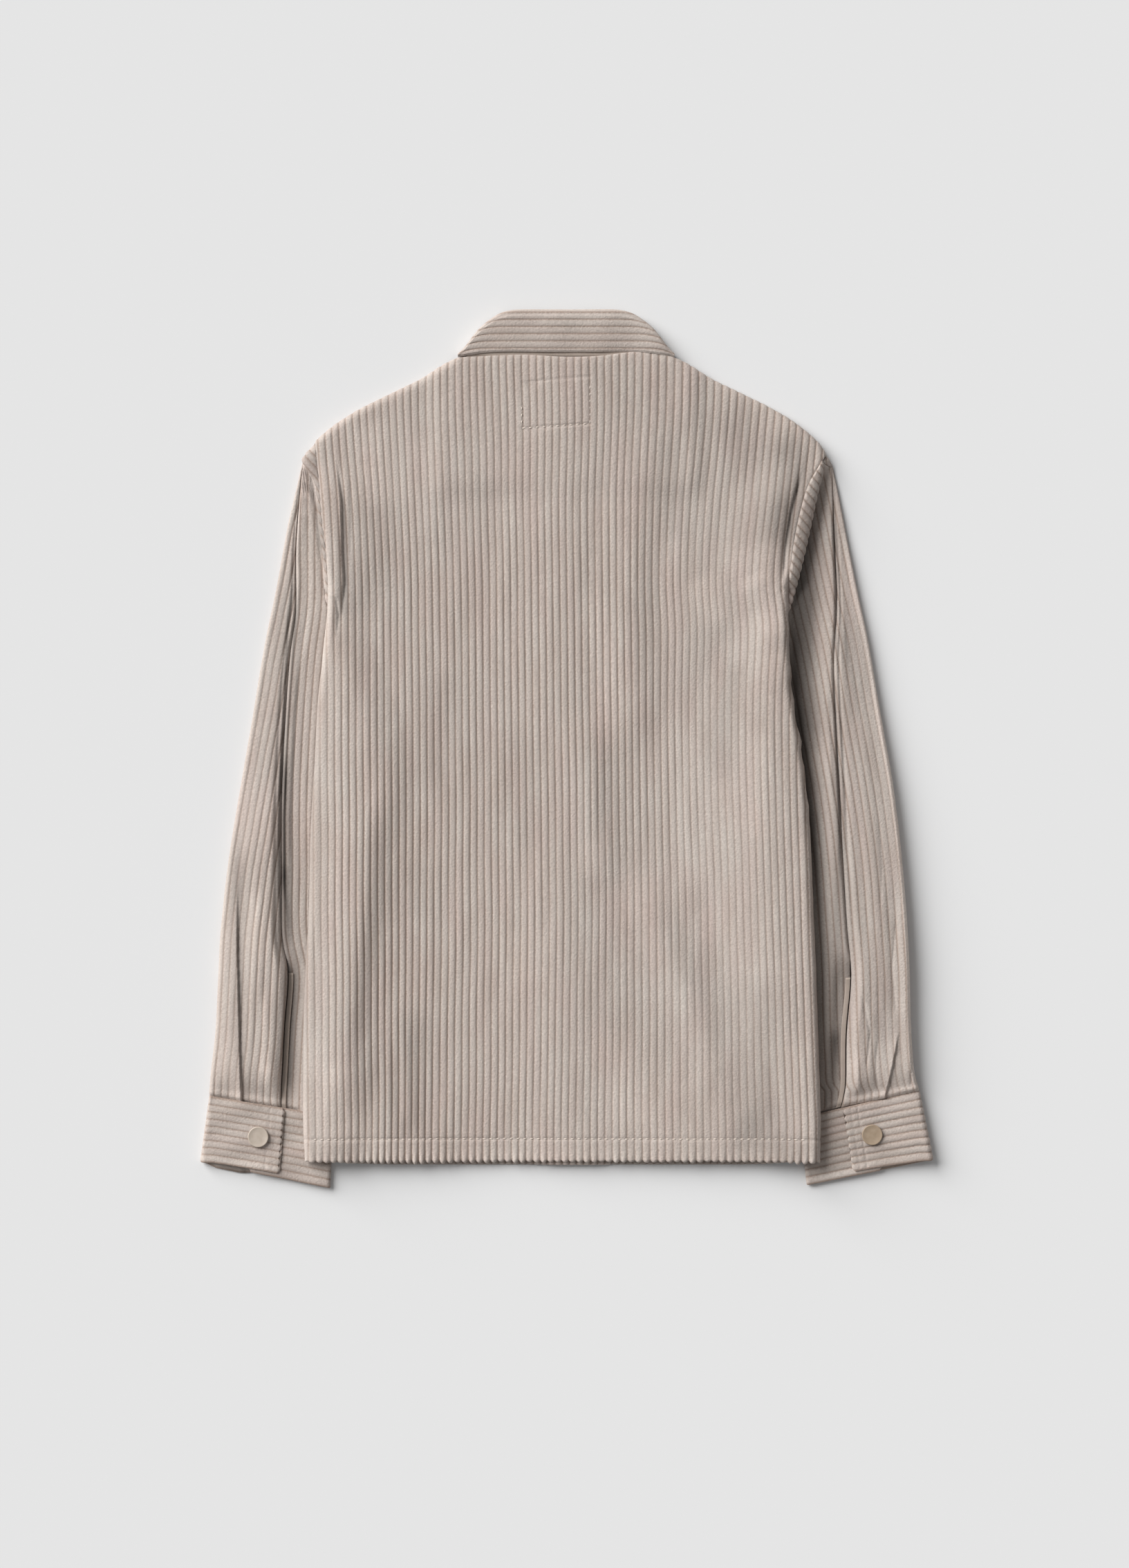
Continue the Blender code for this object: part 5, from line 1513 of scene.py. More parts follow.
        def add(
            keys: Array, f: Array, z: Array, lean: Array, up: Array, phase: Array = 0.0, raised: Array = 0.0
        ) -> None:
            """Add points of the row, moved out by their wales or in by the cloth."""
            place = self.line(k, f)
            ahead = unit(self.line(k, np.minimum(1.0, f + 0.01)) - self.line(k, np.maximum(0.0, f - 0.01)))
            normal = unit(joined(ahead[:, 0] * lean, ahead[:, 1] * lean, up))
            if k < -1:
                place[:, 0] -= side * 0.0012 * self.under_back(f) * (-1 - k) * (np.asarray(up) > 0.9)
            shift = -np.where(np.asarray(up) < 0, FLOOR_CLOTH, inset) if inset else raised
            points = joined(*place.T, z) + normal * np.broadcast_to(shift, f.shape)[:, None]
            groups.append((keys, points, joined(phase, points[:, 1])))

        # Outer strip, from the seam to the outer fold's middle
        f, phase = self.strip(k, step, outer_r, True)
        turn = np.arccos(np.clip(1 - f * length / outer_r, 0.0, 1.0))
        z = self.height(k, f, self.line(k, f), True) * (0.5 + 0.5 * np.sin(turn))
        add(-phase, f, z, -np.cos(turn), np.sin(turn) + 1e-6, phase, self.pile(k, f, phase, True))
        # Outer fold down to the floor, the floor and the inner fold
        turn = np.radians((-45.0, -90.0))
        f = outer_r * (1 - np.cos(turn)) / length
        z = outer_z * (0.5 + 0.5 * np.sin(turn))
        add(np.array((1.0, 2.0)), f, z, -np.cos(turn), np.sin(turn))
        share = np.arange(1, 12) / 12
        f = mix(outer_r / length, 1 - inner_r / length, share)
        add(2.0 + 8 * share, f, 0.0, 0.0, -1.0, f * length / PITCH)
        turn = np.radians((-90.0, -45.0, 0.0, 45.0))
        f = 1 - inner_r * (1 - np.cos(turn)) / length
        z = inner_z * (0.5 + 0.5 * np.sin(turn))
        add(np.array((10.0, 10.2, 10.4, 10.6)), f, z, np.cos(turn), np.sin(turn))
        # Inner strip, back to the seam
        f, phase = self.strip(k, step, outer_r, False)
        z = self.height(k, f, self.line(k, f), False)
        add(112.0 - phase, f, z, 0.0, 1.0, phase, self.pile(k, f, phase, False))
        keys, points, uv = (np.concatenate(part) for part in zip(*groups))
        return Row(float(at), keys, points, uv + np.array((self.first_wale + self.side_wales * side, 0.0)))

    def pile(self, k: float, f: Array, phase: Array, outer_strip: bool) -> Array:
        """Height of the wales above the ground cloth."""
        x, y = self.line(k, f).T
        side = self.side.value
        uneven = 1 + 0.28 * wander(np.floor(phase) * 0.13, y, 41 + side, 0.08)
        uneven = uneven * (1 - 0.45 * ramp(wander(x, y, 45 + side, 0.14)))
        fade = rise(self.from_body(x, y), -0.002, 0.004) * ramp(self.from_seam(k, f) / 0.0015)
        fade = fade * ramp((k + 2) / 0.4) * (1 - zone_share(SLEEVE_WORN, x, y))
        if not outer_strip:
            fade = fade * mix(0.85, 0.65, rise(y, 0.01, 0.08))
        elif self.side is Side.RIGHT:
            fade = fade * 0.6
        return WALE_HEIGHT * wale(phase) * uneven * fade * ramp(self.to_cuff(k) / 0.003)

    def build(self) -> bpy.types.Object:
        """The finished sleeve."""
        at_cuff = self.last - 0.5
        ks = np.concatenate((
            np.linspace(-2.0, 0.0, 30), np.linspace(0.0, at_cuff, 118)[1:],
            np.linspace(at_cuff, self.last, 12)[1:],
        ))
        outer = [self.row_points(n, float(k), 1, 0.0) for n, k in enumerate(ks)]
        inner = [
            self.row_points(n, float(k), 4, GROUND)
            for n, k in enumerate(ks) if n % 3 == 0 or n == len(ks) - 1
        ]
        shell = Shell().wall(outer, inner)
        return shell.to_object("sleeve_cloth_" + self.side.label, SLEEVE_PAINTED_LIGHT, SLEEVE_WORN)


@dataclass
class SleeveHead:
    """The sleeve's eased head: a strip with slanting wales that rolls down beside the armhole's seam.

    Its widths are in millimetres, at heights in millimetres.
    """

    side: Side
    widths: tuple[tuple[float, float], ...]
    base_z: float
    lift: float                     # of its upper edge over the back's
    nap: float                      # how much darker it is painted beside the armhole's seam, as painted shade
    pitch: float = 0.0068
    tucked: float = 0.0010          # how far it goes under the back's edge
    bulge: float = 1.6              # its wales' height over the cloth's
    first_wale: float = 400.0

    def build(self) -> bpy.types.Object:
        """The finished head."""
        side = self.side.value
        wide = SoftCurve([(y * MM, width * MM) for y, width in self.widths])
        y = np.linspace(self.widths[0][0] * MM, self.widths[-1][0] * MM, 200)[:, None]
        width = wide(y)
        seam_x = body_edge(side, y) - side * self.tucked
        top = np.maximum(rolled_edge(side, y, True) + self.lift, self.base_z + 0.0012)
        share = np.linspace(0.0, 1.0, 26)
        turn = share * math.pi / 2
        x = seam_x + side * (width + self.tucked) * np.sin(turn)
        z = self.base_z + (top - self.base_z) * np.cos(turn) ** 0.5
        phase = (x + y + 0.35 * side * (top - z)) / math.sqrt(2.0) / self.pitch
        ends = rise(y, y[-1], 0.004) * descend(y, y[0], 0.003)
        raised = self.bulge * WALE_HEIGHT * lobe(phase) * ends * rise(width, 0.0006, 0.002)
        raised *= ramp(share / 0.12)
        upper = joined(x + side * raised * np.sin(turn) * 0.8, y, z + raised * np.cos(turn))
        back = np.linspace(1.0, 0.0, 6)
        low = joined(seam_x + side * (width + 0.0004) * back, y, self.base_z - 0.0004)
        points = np.concatenate((upper, low), axis=1)
        number = np.concatenate((phase, np.repeat(phase[:, :1], len(back), axis=1)), axis=1) + self.first_wale
        shell = Shell().tube(points, joined(number, points[..., 1]))
        line = np.concatenate((seam_x, y), axis=1)[::40] / MM
        # Painted shade along the armhole's seam
        shade = Crease(tuple(map(tuple, line)), self.nap, 16.0)
        return shell.to_object("sleeve_head_" + self.side.label, (shade,))


@dataclass
class VentFacing:
    """Narrow bound edge that shows in a cuff's vent, laid on the sleeve beside the slit."""

    sleeve: Sleeve
    near: float = 0.0004
    far: float = 0.0048
    half_high: float = 0.0005
    above: float = 0.0017           # height of its middle over the sleeve

    def build(self) -> bpy.types.Object:
        """The finished facing."""
        last = self.sleeve.last
        angle = np.linspace(0.0, 2 * math.pi, 16, endpoint=False)
        across, up = (np.sign(part) * np.abs(part) ** 0.5 for part in (np.cos(angle), np.sin(angle)))
        rings = []
        for k in np.linspace(last - 3, last, 60):
            length = self.sleeve.row_length(float(k))
            centre = self.sleeve.seam(k) + 0.5 * (self.near + self.far) / length
            f = centre + 0.5 * (self.far - self.near) / length * across
            place = self.sleeve.line(float(k), f)
            z = self.sleeve.height(float(k), f, place, False) + self.above + self.half_high * up
            rings.append(joined(place[:, 0], place[:, 1] + 0.0006 * ramp(k - last + 1), z))
        points = np.array(rings)
        shell = Shell().tube(points, points[..., :2] / PITCH)
        return shell.to_object("vent_binding_" + self.sleeve.side.label)


# Cuffs

# Painted light and shade on the cuffs: painted shadow in the left cuff's opening under its free edge, broad
# painted shade on the right cuff, and painted highlights along both lower rims
CUFF_PAINTED_LIGHT = (
    Crease(((-318, -379.5), (-300, -383.5), (-286, -387)), -0.66, 2.6),
    Crease(((244, -350), (330, -346)), -0.08, 40.0),
    Crease(((215, -397), (264, -384.5), (338, -373)), 0.34, 4.0),
    Crease(((-338, -373), (-296, -377.5), (-255, -384)), 0.20, 4.0),
)


class Station(NamedTuple):
    """One place along a cuff's band."""

    share: float            # from the outer to the inner fold
    mid: float              # height of the wall's middle
    lean: float = 0.0       # its outside's direction
    up: float = 1.0
    wales: float = 1.0
    on_over: float = 0.0    # whether it is on the overlap
    end: float = 0.0        # angle round an end of the band


@dataclass
class Cuff:
    """A doubled band round the wrist: underlap, floor, outer fold and overlap, with wales round it."""

    side: Side
    seam_outer: tuple[float, float]
    seam_inner: tuple[float, float]
    free_outer: tuple[float, float]
    free_inner: tuple[float, float]
    over_end: float
    under_end: float
    softness: float                 # how far handling has flattened its wales
    outer_top: float                # middle of the wall on top of the outer fold
    opening: float                  # how far the floor side shows past the free edge, as a share of its width
    half_wall: float = 0.0011
    wales: int = 9
    floor_mid: float = 0.0011
    under_mid: float = 0.0043
    over_mid: float = 0.0069
    inner_fold: float = 0.97        # shares of the width where the folds start
    outer_fold: float = 0.035
    strip: float = 0.0108           # width of the stitched strip at the overlap's end
    edge_stitch: float = 0.0045     # from that end to its edge stitching
    stitch_width: float = 0.0010
    skew: float = 0.0040            # how far the overlap's free corner is drawn up
    fold_skew: float = 0.0018       # the part of it at the outer fold
    end_swell: float = 0.0021       # how far the wales stand out of the band's ends
    first_wale: float = 500.0
    side_wales: float = 30.0

    def path(self) -> Array:
        """Stations along the band, from the underlap's end to the overlap's."""
        angles = np.radians((-80, -50, -20))
        stations = [Station(self.under_end, self.under_mid, wales=0.0, end=angle) for angle in angles]
        hidden = np.linspace(self.under_end, self.over_end - 0.03, 6)
        shown = np.arange(self.over_end - 0.02, self.inner_fold, 0.009)
        stations += [Station(share, self.under_mid) for share in np.concatenate((hidden, shown))]
        radius = (self.under_mid - self.floor_mid) / 2
        for turn in np.radians((70, 45, 20, 0, -20, -45, -70)):
            out, up = math.cos(turn), math.sin(turn)
            mid = self.floor_mid + radius * (1 + up)
            stations.append(Station(self.inner_fold + 0.016 * out, mid, out, up, max(0.0, up)))
        floor = np.linspace(0.965, self.outer_fold, 22)
        stations += [Station(share, self.floor_mid, up=-1.0, wales=0.0) for share in floor]
        radius = (self.outer_top - self.floor_mid) / 2
        for turn in np.radians(range(-75, 80, 12)):
            out, up = math.cos(turn), math.sin(turn)
            mid = self.floor_mid + radius * (1 + up)
            stations.append(Station(self.outer_fold - 0.022 * out, mid, -out, up, rise(up, -0.8, 0.8), 1.0))
        for share in np.arange(0.038, self.over_end, 0.0075):
            climb = rise(share, 0.03, self.under_end - 0.08)
            stations.append(Station(share, mix(self.outer_top, self.over_mid, climb), on_over=1.0))
        angles = np.radians((0, 20, 40, 60, 80))
        stations += [Station(self.over_end, self.over_mid, on_over=1.0, end=angle) for angle in angles]
        return np.array(stations)

    def plan(self, share: Array, across: Array) -> Array:
        """Plan points: share from the outer to the inner fold, across from the seam to the free edge."""
        share, across = share[..., None], across[..., None]
        outer = mix(np.array(self.seam_outer), np.array(self.free_outer), across)
        inner = mix(np.array(self.seam_inner), np.array(self.free_inner), across)
        return mix(outer, inner, share)

    def pressed(self, share: Array, on_over: Array) -> Array:
        """How far the overlap's stitching presses the wales, 0 to 1."""
        from_end = (self.over_end - share) * math.dist(self.seam_outer, self.seam_inner)
        line = bell(from_end - self.strip, self.stitch_width)
        edge = 0.6 * bell(from_end - self.edge_stitch, self.stitch_width)
        return np.maximum(line, edge) * on_over * 0.75

    def build(self) -> bpy.types.Object:
        """The finished cuff."""
        side = self.side.value
        stations = self.path()
        share, mid, lean, up, wales, on_over, end = (part[:, None] for part in stations.T)
        columns = np.linspace(0.0, 1.0, self.wales * 9 + 1)
        inside = np.linspace(1.0, 0.0, 14)
        rim = len(RIM_BEND)
        across = np.concatenate((columns, np.ones(rim), inside, np.zeros(rim)))
        face = np.ones(len(columns)), -np.ones(len(inside))
        out = np.concatenate((face[0], np.sin(RIM_BEND), face[1], -np.sin(RIM_BEND)))
        past = np.concatenate((0.0 * columns, np.cos(RIM_BEND), 0.0 * inside, -np.cos(RIM_BEND)))
        top = np.arange(len(across)) < len(columns)
        opened = self.opening * (up < 0) * rise(share, 0.03, 0.10) * descend(share, 0.42, 0.12)
        plan = self.plan(share + 0.0 * across, across * (1 + opened))
        toward = np.array(self.seam_inner) - np.array(self.seam_outer)
        width = np.linalg.norm(toward)
        toward = unit(toward)
        down = unit(np.array(self.free_outer) - np.array(self.seam_outer))
        phase = across * self.wales
        run = run_along(stations[:, 0] * width, stations[:, 1])[:, None]
        uneven = 1 + 0.25 * wander(np.floor(phase) * 0.1, run, 51 + side, 0.05)
        ridge = mix(wale(phase), lobe(phase), 0.5) * top * wales * uneven
        ridge *= 1 - self.pressed(share, on_over)
        closing = np.cos(end)
        reach = self.half_wall * out * closing + WALE_HEIGHT * (1 - self.softness) * ridge * closing
        skew = (self.skew - self.fold_skew) * ramp(share / self.over_end)
        skew = on_over * (self.fold_skew * ramp(share / 0.12) + skew)
        sag = 0.0005 * wander(plan[..., 0], plan[..., 1], 61 + side, 0.05) * (up > 0.9)
        end_shift = np.sin(end) * (0.5 * self.half_wall + self.end_swell * lobe(phase))
        plan = plan + (self.half_wall * past * closing)[..., None] * down + end_shift[..., None] * toward
        points = joined(plan[..., 0], plan[..., 1] + skew * across, mid + sag)
        points = points + unit(joined(toward[0] * lean, toward[1] * lean, up)) * reach[..., None]
        shell = Shell().tube(points, joined(phase + self.first_wale + self.side_wales * side, run))
        return shell.to_object("cuff_band_" + self.side.label, CUFF_PAINTED_LIGHT)


# Collar

@dataclass
class CollarFall:
    """The folded-down collar: a leaf with wales across to its slanted ends, and two leaves on the floor.

    The fold's and the rim's lines are in millimetres, from the middle to an end.
    """

    wales: int = 6
    pitch: float = 0.0065
    first_valley_y: float = 0.3974
    droop: tuple[float, float] = (0.0042, 0.0050)       # of the wales at the left and right end
    crest: float = 0.8                                  # their height over the cloth's
    top_z: float = 0.0108
    end_drop: float = 0.0010
    fold_high: tuple[float, float] = (0.0026, 0.0042)   # depth of the fold in the middle and at its ends
    half_wall: float = 0.0008
    roll_wide: float = 0.0030
    rim_drop: float = 0.0012
    sag: float = 0.0006
    first_wale: float = 600.0
    leaf_wale: float = 640.0
    fold_line: tuple[tuple[float, float], ...] = (
        (0, 399.6), (28, 399.8), (47, 399.4), (59, 396.8), (69, 391.2), (78.5, 383.6), (85.5, 375.5),
        (91.5, 367.5), (98.8, 359.4),
    )
    rim_line: tuple[tuple[float, float], ...] = (
        (0, 362.0), (28, 362.2), (50, 362.4), (66, 362.0), (77, 361.0), (84, 360.0), (90, 359.2),
        (94.5, 358.4), (98.6, 357.6),
    )

    def edge(self, line: tuple[tuple[float, float], ...], steps: Array) -> Array:
        """Plan points of an edge at steps from -1 at the left end to 1 at the right."""
        marks = np.linspace(0.0, 1.0, len(line))
        x, y = (SoftCurve(list(zip(marks, part)))(np.abs(steps)) for part in (np.array(line) * MM).T)
        return joined(x * np.sign(steps), y)

    def build(self) -> bpy.types.Object:
        """The finished collar fall."""
        steps = np.linspace(-1.0, 1.0, 190)
        fold = self.edge(self.fold_line, steps)
        across = self.edge(self.rim_line, steps) - fold
        width = np.linalg.norm(across, axis=1)[:, None]
        across = across / width
        outward = np.abs(steps)[:, None]
        roll_wide = np.minimum(self.roll_wide, 0.4 * width)
        high = mix(*self.fold_high, rise(outward, 0.25, 0.5))
        level = self.top_z - self.end_drop * rise(outward, 0.55, 0.45)

        def ring(part: Array, offset: Array, past: Array, turn: Array, raised: Array) -> Array:
            """Points at shares of the leaf, at turns round its fold and offsets from its middle."""
            place = roll_wide * (1 - np.cos(turn)) + part * (width - roll_wide)
            drop = high * (1 - np.sin(turn)) + self.rim_drop * part ** 2
            reach = offset * self.half_wall + raised
            away = place - reach * np.cos(turn) + past * self.half_wall
            plan = fold[:, None, :] + away[..., None] * across[:, None, :]
            return joined(plan[..., 0], plan[..., 1], level - drop + reach * np.sin(turn))

        # Wales run straight across and droop a little before the slanted ends cut them off
        flat = np.linspace(0.0, 1.0, self.wales * 9 + 1)
        y = fold[:, 1:] + (roll_wide + flat * (width - roll_wide)) * across[:, 1:]
        highest = fold[:, 1:].max()
        near_end = np.clip((highest - fold[:, 1:]) / (highest - y), 0.0, 1.0)
        droop = mix(*self.droop, ramp(steps + 0.5))[:, None] * near_end ** 2
        phase = (self.first_valley_y - y - droop) / self.pitch
        uneven = 1 + 0.2 * wander(np.floor(phase) * 0.1, steps[:, None] * 0.1, 71, 0.05)
        crests = self.crest * WALE_HEIGHT * wale(phase) * uneven * rise(width, 0.002, 0.014)
        crests = crests * ramp((1 - flat) * width / 0.0012) * ramp(flat * width / 0.0032)
        # From the underside of the fold, over it, along the leaf, round its rim and back inside
        rolled = np.radians(np.arange(-60.0, 90.0, 12.0))
        inside = np.linspace(1.0, 0.0, 10)
        back_roll = rolled[::-2]
        points = np.concatenate((
            ring(0.0 * rolled, 1.0, 0.0, rolled, 0.0),
            ring(flat, 1.0, 0.0, QUARTER, crests),
            ring(np.ones(len(RIM_BEND)), np.sin(RIM_BEND), np.cos(RIM_BEND), QUARTER, 0.0),
            ring(inside, -1.0, 0.0, QUARTER, 0.0),
            ring(0.0 * back_roll, -1.0, 0.0, back_roll, 0.0),
        ), axis=1)
        points[..., 2] += self.sag * wander(points[..., 0], points[..., 1], 73, 0.07)
        before = (rolled - QUARTER) * 0.45 + phase[:, :1]
        last = phase[:, -1:]
        number = np.concatenate((
            before, phase, np.repeat(last, len(RIM_BEND), axis=1), inside * last, back_roll * 0.0 * last,
        ), axis=1)
        shell = Shell().tube(points, joined(number + self.first_wale, steps[:, None] * 0.12))
        for side in Side:
            self.front_leaf(shell, side)
        return shell.to_object("collar_leaf")

    def front_leaf(self, shell: Shell, side: Side) -> None:
        """Add the leaf on the floor that the collar rolls over into at one side."""
        across = np.concatenate((np.linspace(0.0, 1.0, 25), np.linspace(1.0, 0.0, 25)))
        face = np.repeat((1.0, -1.0), 25) * self.half_wall
        start = mix(np.array((0.0600, 0.3940)), np.array((0.0975, 0.3577)), across[:, None])
        stop = mix(np.array((0.0060, 0.3180)), np.array((0.0800, 0.2750)), across[:, None])
        inset = np.array((0.0055, 0.0))
        floor_z = 0.0008
        high = 0.0040
        rings = []
        for turn in np.radians(np.arange(0.0, 95.0, 15.0)):
            x, y = (start - inset * (1 - math.cos(turn))).T
            z = floor_z + high * (1 - math.sin(turn)) - face * math.sin(turn)
            rings.append(joined(x + face * math.cos(turn), y, z))
        for share in np.linspace(0.08, 1.0, 24):
            rings.append(joined(*mix(start - inset, stop, share).T, floor_z - face))
        points = np.array(rings)
        points[..., 0] *= side.value
        run = np.linspace(0.0, 0.11, len(rings))[:, None]
        shell.tube(points, joined(across * self.wales + self.leaf_wale, run))


@dataclass
class CollarStand:
    """Inner stand of the collar, plain woven: a few millimetres show under the fall's lower edge."""

    top_z: float = 0.0080
    floor_z: float = 0.0031
    half_wall: float = 0.0007
    inset: float = 0.0018

    def build(self) -> bpy.types.Object:
        """The finished stand."""
        mid, radius = (self.top_z + self.floor_z) / 2, (self.top_z - self.floor_z) / 2
        inset = np.array((self.inset, 0.0))
        # Its upper and lower edge: in the middle of the back, at the neck's end and at the front
        lines = np.array((
            ((0.0, 0.3945), (0.0590, 0.3925), (0.0030, 0.3150)),
            ((0.0, NECK_Y + SEAM), (0.0915, NECK_Y + 2 * SEAM), (0.0030, 0.2932)),
        ))
        middle, neck, front = lines.transpose(1, 0, 2)
        half = [(mix(middle, neck - inset, s), self.top_z, 0.0, 1.0) for s in np.linspace(0.0, 0.96, 60)]
        for turn in np.radians(range(90, -91, -15)):
            plan = neck + inset * (math.cos(turn) - 1)
            half.append((plan, mid + radius * math.sin(turn), math.cos(turn), math.sin(turn)))
        half += [(mix(neck - inset, front, s), self.floor_z, 0.0, -1.0) for s in np.linspace(0.06, 1.0, 18)]
        across = np.concatenate((np.linspace(0.0, 1.0, 16), np.linspace(1.0, 0.0, 8)))
        reach = np.repeat((1.0, -1.0), (16, 8)) * self.half_wall
        toward = unit(neck[1] - neck[0])
        rings = []
        stations = [(-1.0, item) for item in half[:0:-1]] + [(1.0, item) for item in half]
        for mirror, (plan, z, lean, up) in stations:
            x, y = mix(plan[0], plan[1], across[:, None]).T
            x = mirror * (x - toward[1] * lean * reach)
            rings.append(joined(x, y + toward[0] * lean * reach, z + up * reach))
        points = np.array(rings)
        return Shell().tube(points, points[..., :2] / PITCH).to_object("collar_stand_cloth")


# Snaps and stitches

@dataclass
class SnapCap:
    """Flat round cap of a snap, pressed from sheet metal with a rolled rim and a slightly dished face."""

    name: str
    node: str
    segments: int = 40
    rim: float = 0.0006
    face_up: bool = True
    rings: tuple[tuple[float, float], ...] = ((0.10, 0.0), (0.08, -0.00025), (0.45, 0.00015))

    def build(self) -> bpy.types.Object:
        """The finished cap, in the place of its node."""
        low, high = (np.array(corner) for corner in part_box(self.node))
        radius = (high[0] - low[0]) / 2
        bpy.ops.object.select_all(action="DESELECT")
        bpy.ops.mesh.primitive_cylinder_add(
            vertices=self.segments, radius=radius, depth=high[2] - low[2], location=(low + high) / 2,
            end_fill_type="NGON",
        )
        cap = bpy.context.object
        cap.name = self.name
        bpy.ops.object.mode_set(mode="EDIT")
        work = bmesh.from_edit_mesh(cap.data)
        sign = 1.0 if self.face_up else -1.0
        for face in work.faces:
            face.select_set(face.normal.z * sign > 0.9)
        bmesh.update_edit_mesh(cap.data)
        # Rings inward on its face: each one's width as a share of the radius, and how far it is raised
        for width, raised in self.rings:
            bpy.ops.mesh.inset(thickness=radius * width)
            bpy.ops.transform.translate(value=(0.0, 0.0, sign * raised))
        bpy.ops.object.mode_set(mode="OBJECT")
        softened = cap.modifiers.new("rolled rim", "BEVEL")
        softened.width = self.rim
        softened.segments = 3
        softened.limit_method = "ANGLE"
        softened.angle_limit = math.radians(40)
        bpy.ops.object.modifier_apply(modifier=softened.name)
        bpy.ops.object.transform_apply(location=True, rotation=True, scale=True)
        bpy.ops.object.shade_smooth_by_angle(angle=math.radians(40))
        return cap


@dataclass
class StitchRun:
    """A line of stitches on the cloth: each a small lens of thread, all joined in one mesh."""

    length: float = 0.0038          # real ones are about 2.5 mm long and 0.4 mm thick: drawn coarser to show
    gap: float = 0.0024
    radius: float = 0.00062
    sunk: float = 0.0005            # how far its ends go into the cloth
    end_size: float = 0.45          # thickness of its ends, as a share

    def add(self, shell: Shell, line: Array) -> None:
        """Add stitches along a line of points in space."""
        run = run_along(*line.T)
        angle = np.linspace(0.0, 2 * math.pi, 6, endpoint=False)[:, None]
        thick = self.radius * np.array((self.end_size, 1.0, 1.0, self.end_size))
        sink = self.sunk * np.array((1.0, 0.0, 0.0, 1.0))
        for start in np.arange(0.0, run[-1] - self.length, self.length + self.gap):
            stations = np.linspace(start, start + self.length, 4)
            centre = joined(*(np.interp(stations, run, part) for part in line.T))
            ahead = unit(centre[-1] - centre[0])
            across = unit(np.cross(ahead, (0.0, 0.0, 1.0)))
            ring = np.cos(angle) * across + np.sin(angle) * np.cross(across, ahead)
            points = centre[:, None, :] + thick[:, None, None] * ring
            points[..., 2] -= sink[:, None]
            shell.tube(points, points[..., :2] / PITCH)


def stitch_lines(back: BackPanel) -> list[Array]:
    """Lines of stitches that show on the back: the hem, and the rectangle under the collar."""
    hem_y = HEM_Y + HEM_DEPTH
    clear = 0.009
    x = np.linspace(float(LEFT_EDGE(-0.355)) + clear, float(RIGHT_EDGE(-0.355)) - clear, 900)
    plans = [(x, hem_y + 0.0004 * wander(x, x, 81, 0.08))]
    left, right = back.label_left, back.label_right
    corners = ((left, 0.312), (left, 0.292), (right, 0.296), (right, 0.336))
    for (x0, y0), (x1, y1) in zip(corners, corners[1:]):
        plans.append((np.linspace(x0, x1, 120), np.linspace(y0, y1, 120)))
    return [joined(x, y, back.height(x, y)) for x, y in plans]


@dataclass
class Studio:
    """Pale floor, soft light from the upper left, and a camera straight above."""

    field_high: float = 1.429
    centre: tuple[float, float] = (-0.0016, -0.0318)
    subject_z: float = 0.006
    floor_size: float = 60.0
    floor_z: float = -0.0002
    lens: float = 85.0
    sensor: float = 36.0
    sun_from: tuple[float, float, float] = (-0.69, 0.54, 0.48)
    sun_strength: float = 4.66
    sun_angle: float = 48.0
    sky: float = 0.25

    def build(self) -> None:
        """Floor, lights and camera."""
        bpy.ops.object.select_all(action="DESELECT")
        bpy.ops.mesh.primitive_plane_add(size=self.floor_size, location=(0.0, 0.0, self.floor_z))
        floor = bpy.context.object
        floor.name = "floor"
        bpy.ops.object.transform_apply(location=True, rotation=True, scale=True)
        floor.data.materials.append(MattPaper().material())
        floor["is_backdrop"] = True
        self.light()
        data = bpy.data.cameras.new("camera")
        data.lens = self.lens
        data.sensor_width = self.sensor
        data.clip_end = 100.0
        camera = bpy.data.objects.new("camera", data)
        camera.location = (*self.centre, self.field_high * self.lens / self.sensor + self.subject_z)
        bpy.context.scene.collection.objects.link(camera)
        bpy.context.scene.camera = camera
        bpy.context.scene.view_settings.view_transform = "Standard"

    def light(self) -> None:
        """Broad soft key light and an even sky."""
        data = bpy.data.lights.new("key", "SUN")
        data.energy = self.sun_strength
        data.angle = math.radians(self.sun_angle)
        key = bpy.data.objects.new("key", data)
        x, y, z = self.sun_from
        key.rotation_euler = (0.0, math.atan2(math.hypot(x, y), z), math.atan2(y, x))
        bpy.context.scene.collection.objects.link(key)
        world = bpy.data.worlds.new("soft room")
        world.use_nodes = True
        back = world.node_tree.nodes["Background"]
        back.inputs["Color"].default_value = (1.0, 1.0, 1.0, 1.0)
        back.inputs["Strength"].default_value = self.sky
        bpy.context.scene.world = world


# The shirt's pieces that differ by side

SLEEVES = (
    Sleeve(
        Side.LEFT, LEFT_SLEEVE, LEFT_SLEEVE_CREASES,
        Pleat(((-299, -112), (-299.2, -170), (-297.5, -240), (-295.5, -316)), 2.6, 7.0),
        tip=(-0.2408, 0.2590), rim_z=0.0050, seam_z=0.0078, body_z=0.0063, crown_z=0.0091, reach=0.010,
        outer_drop=0.42, outer_cuff_z=0.0062,
    ),
    Sleeve(
        Side.RIGHT, RIGHT_SLEEVE, RIGHT_SLEEVE_CREASES,
        Pleat(((303, -255), (297, -286), (291, -314)), 2.2, 7.0),
        tip=(0.2432, 0.2575), rim_z=0.0032, seam_z=0.0116, body_z=0.0026, crown_z=0.0116, reach=0.011,
        outer_drop=0.02, outer_cuff_z=0.0128, fold=0.24, shoulder_drop=0.62,
    ),
)
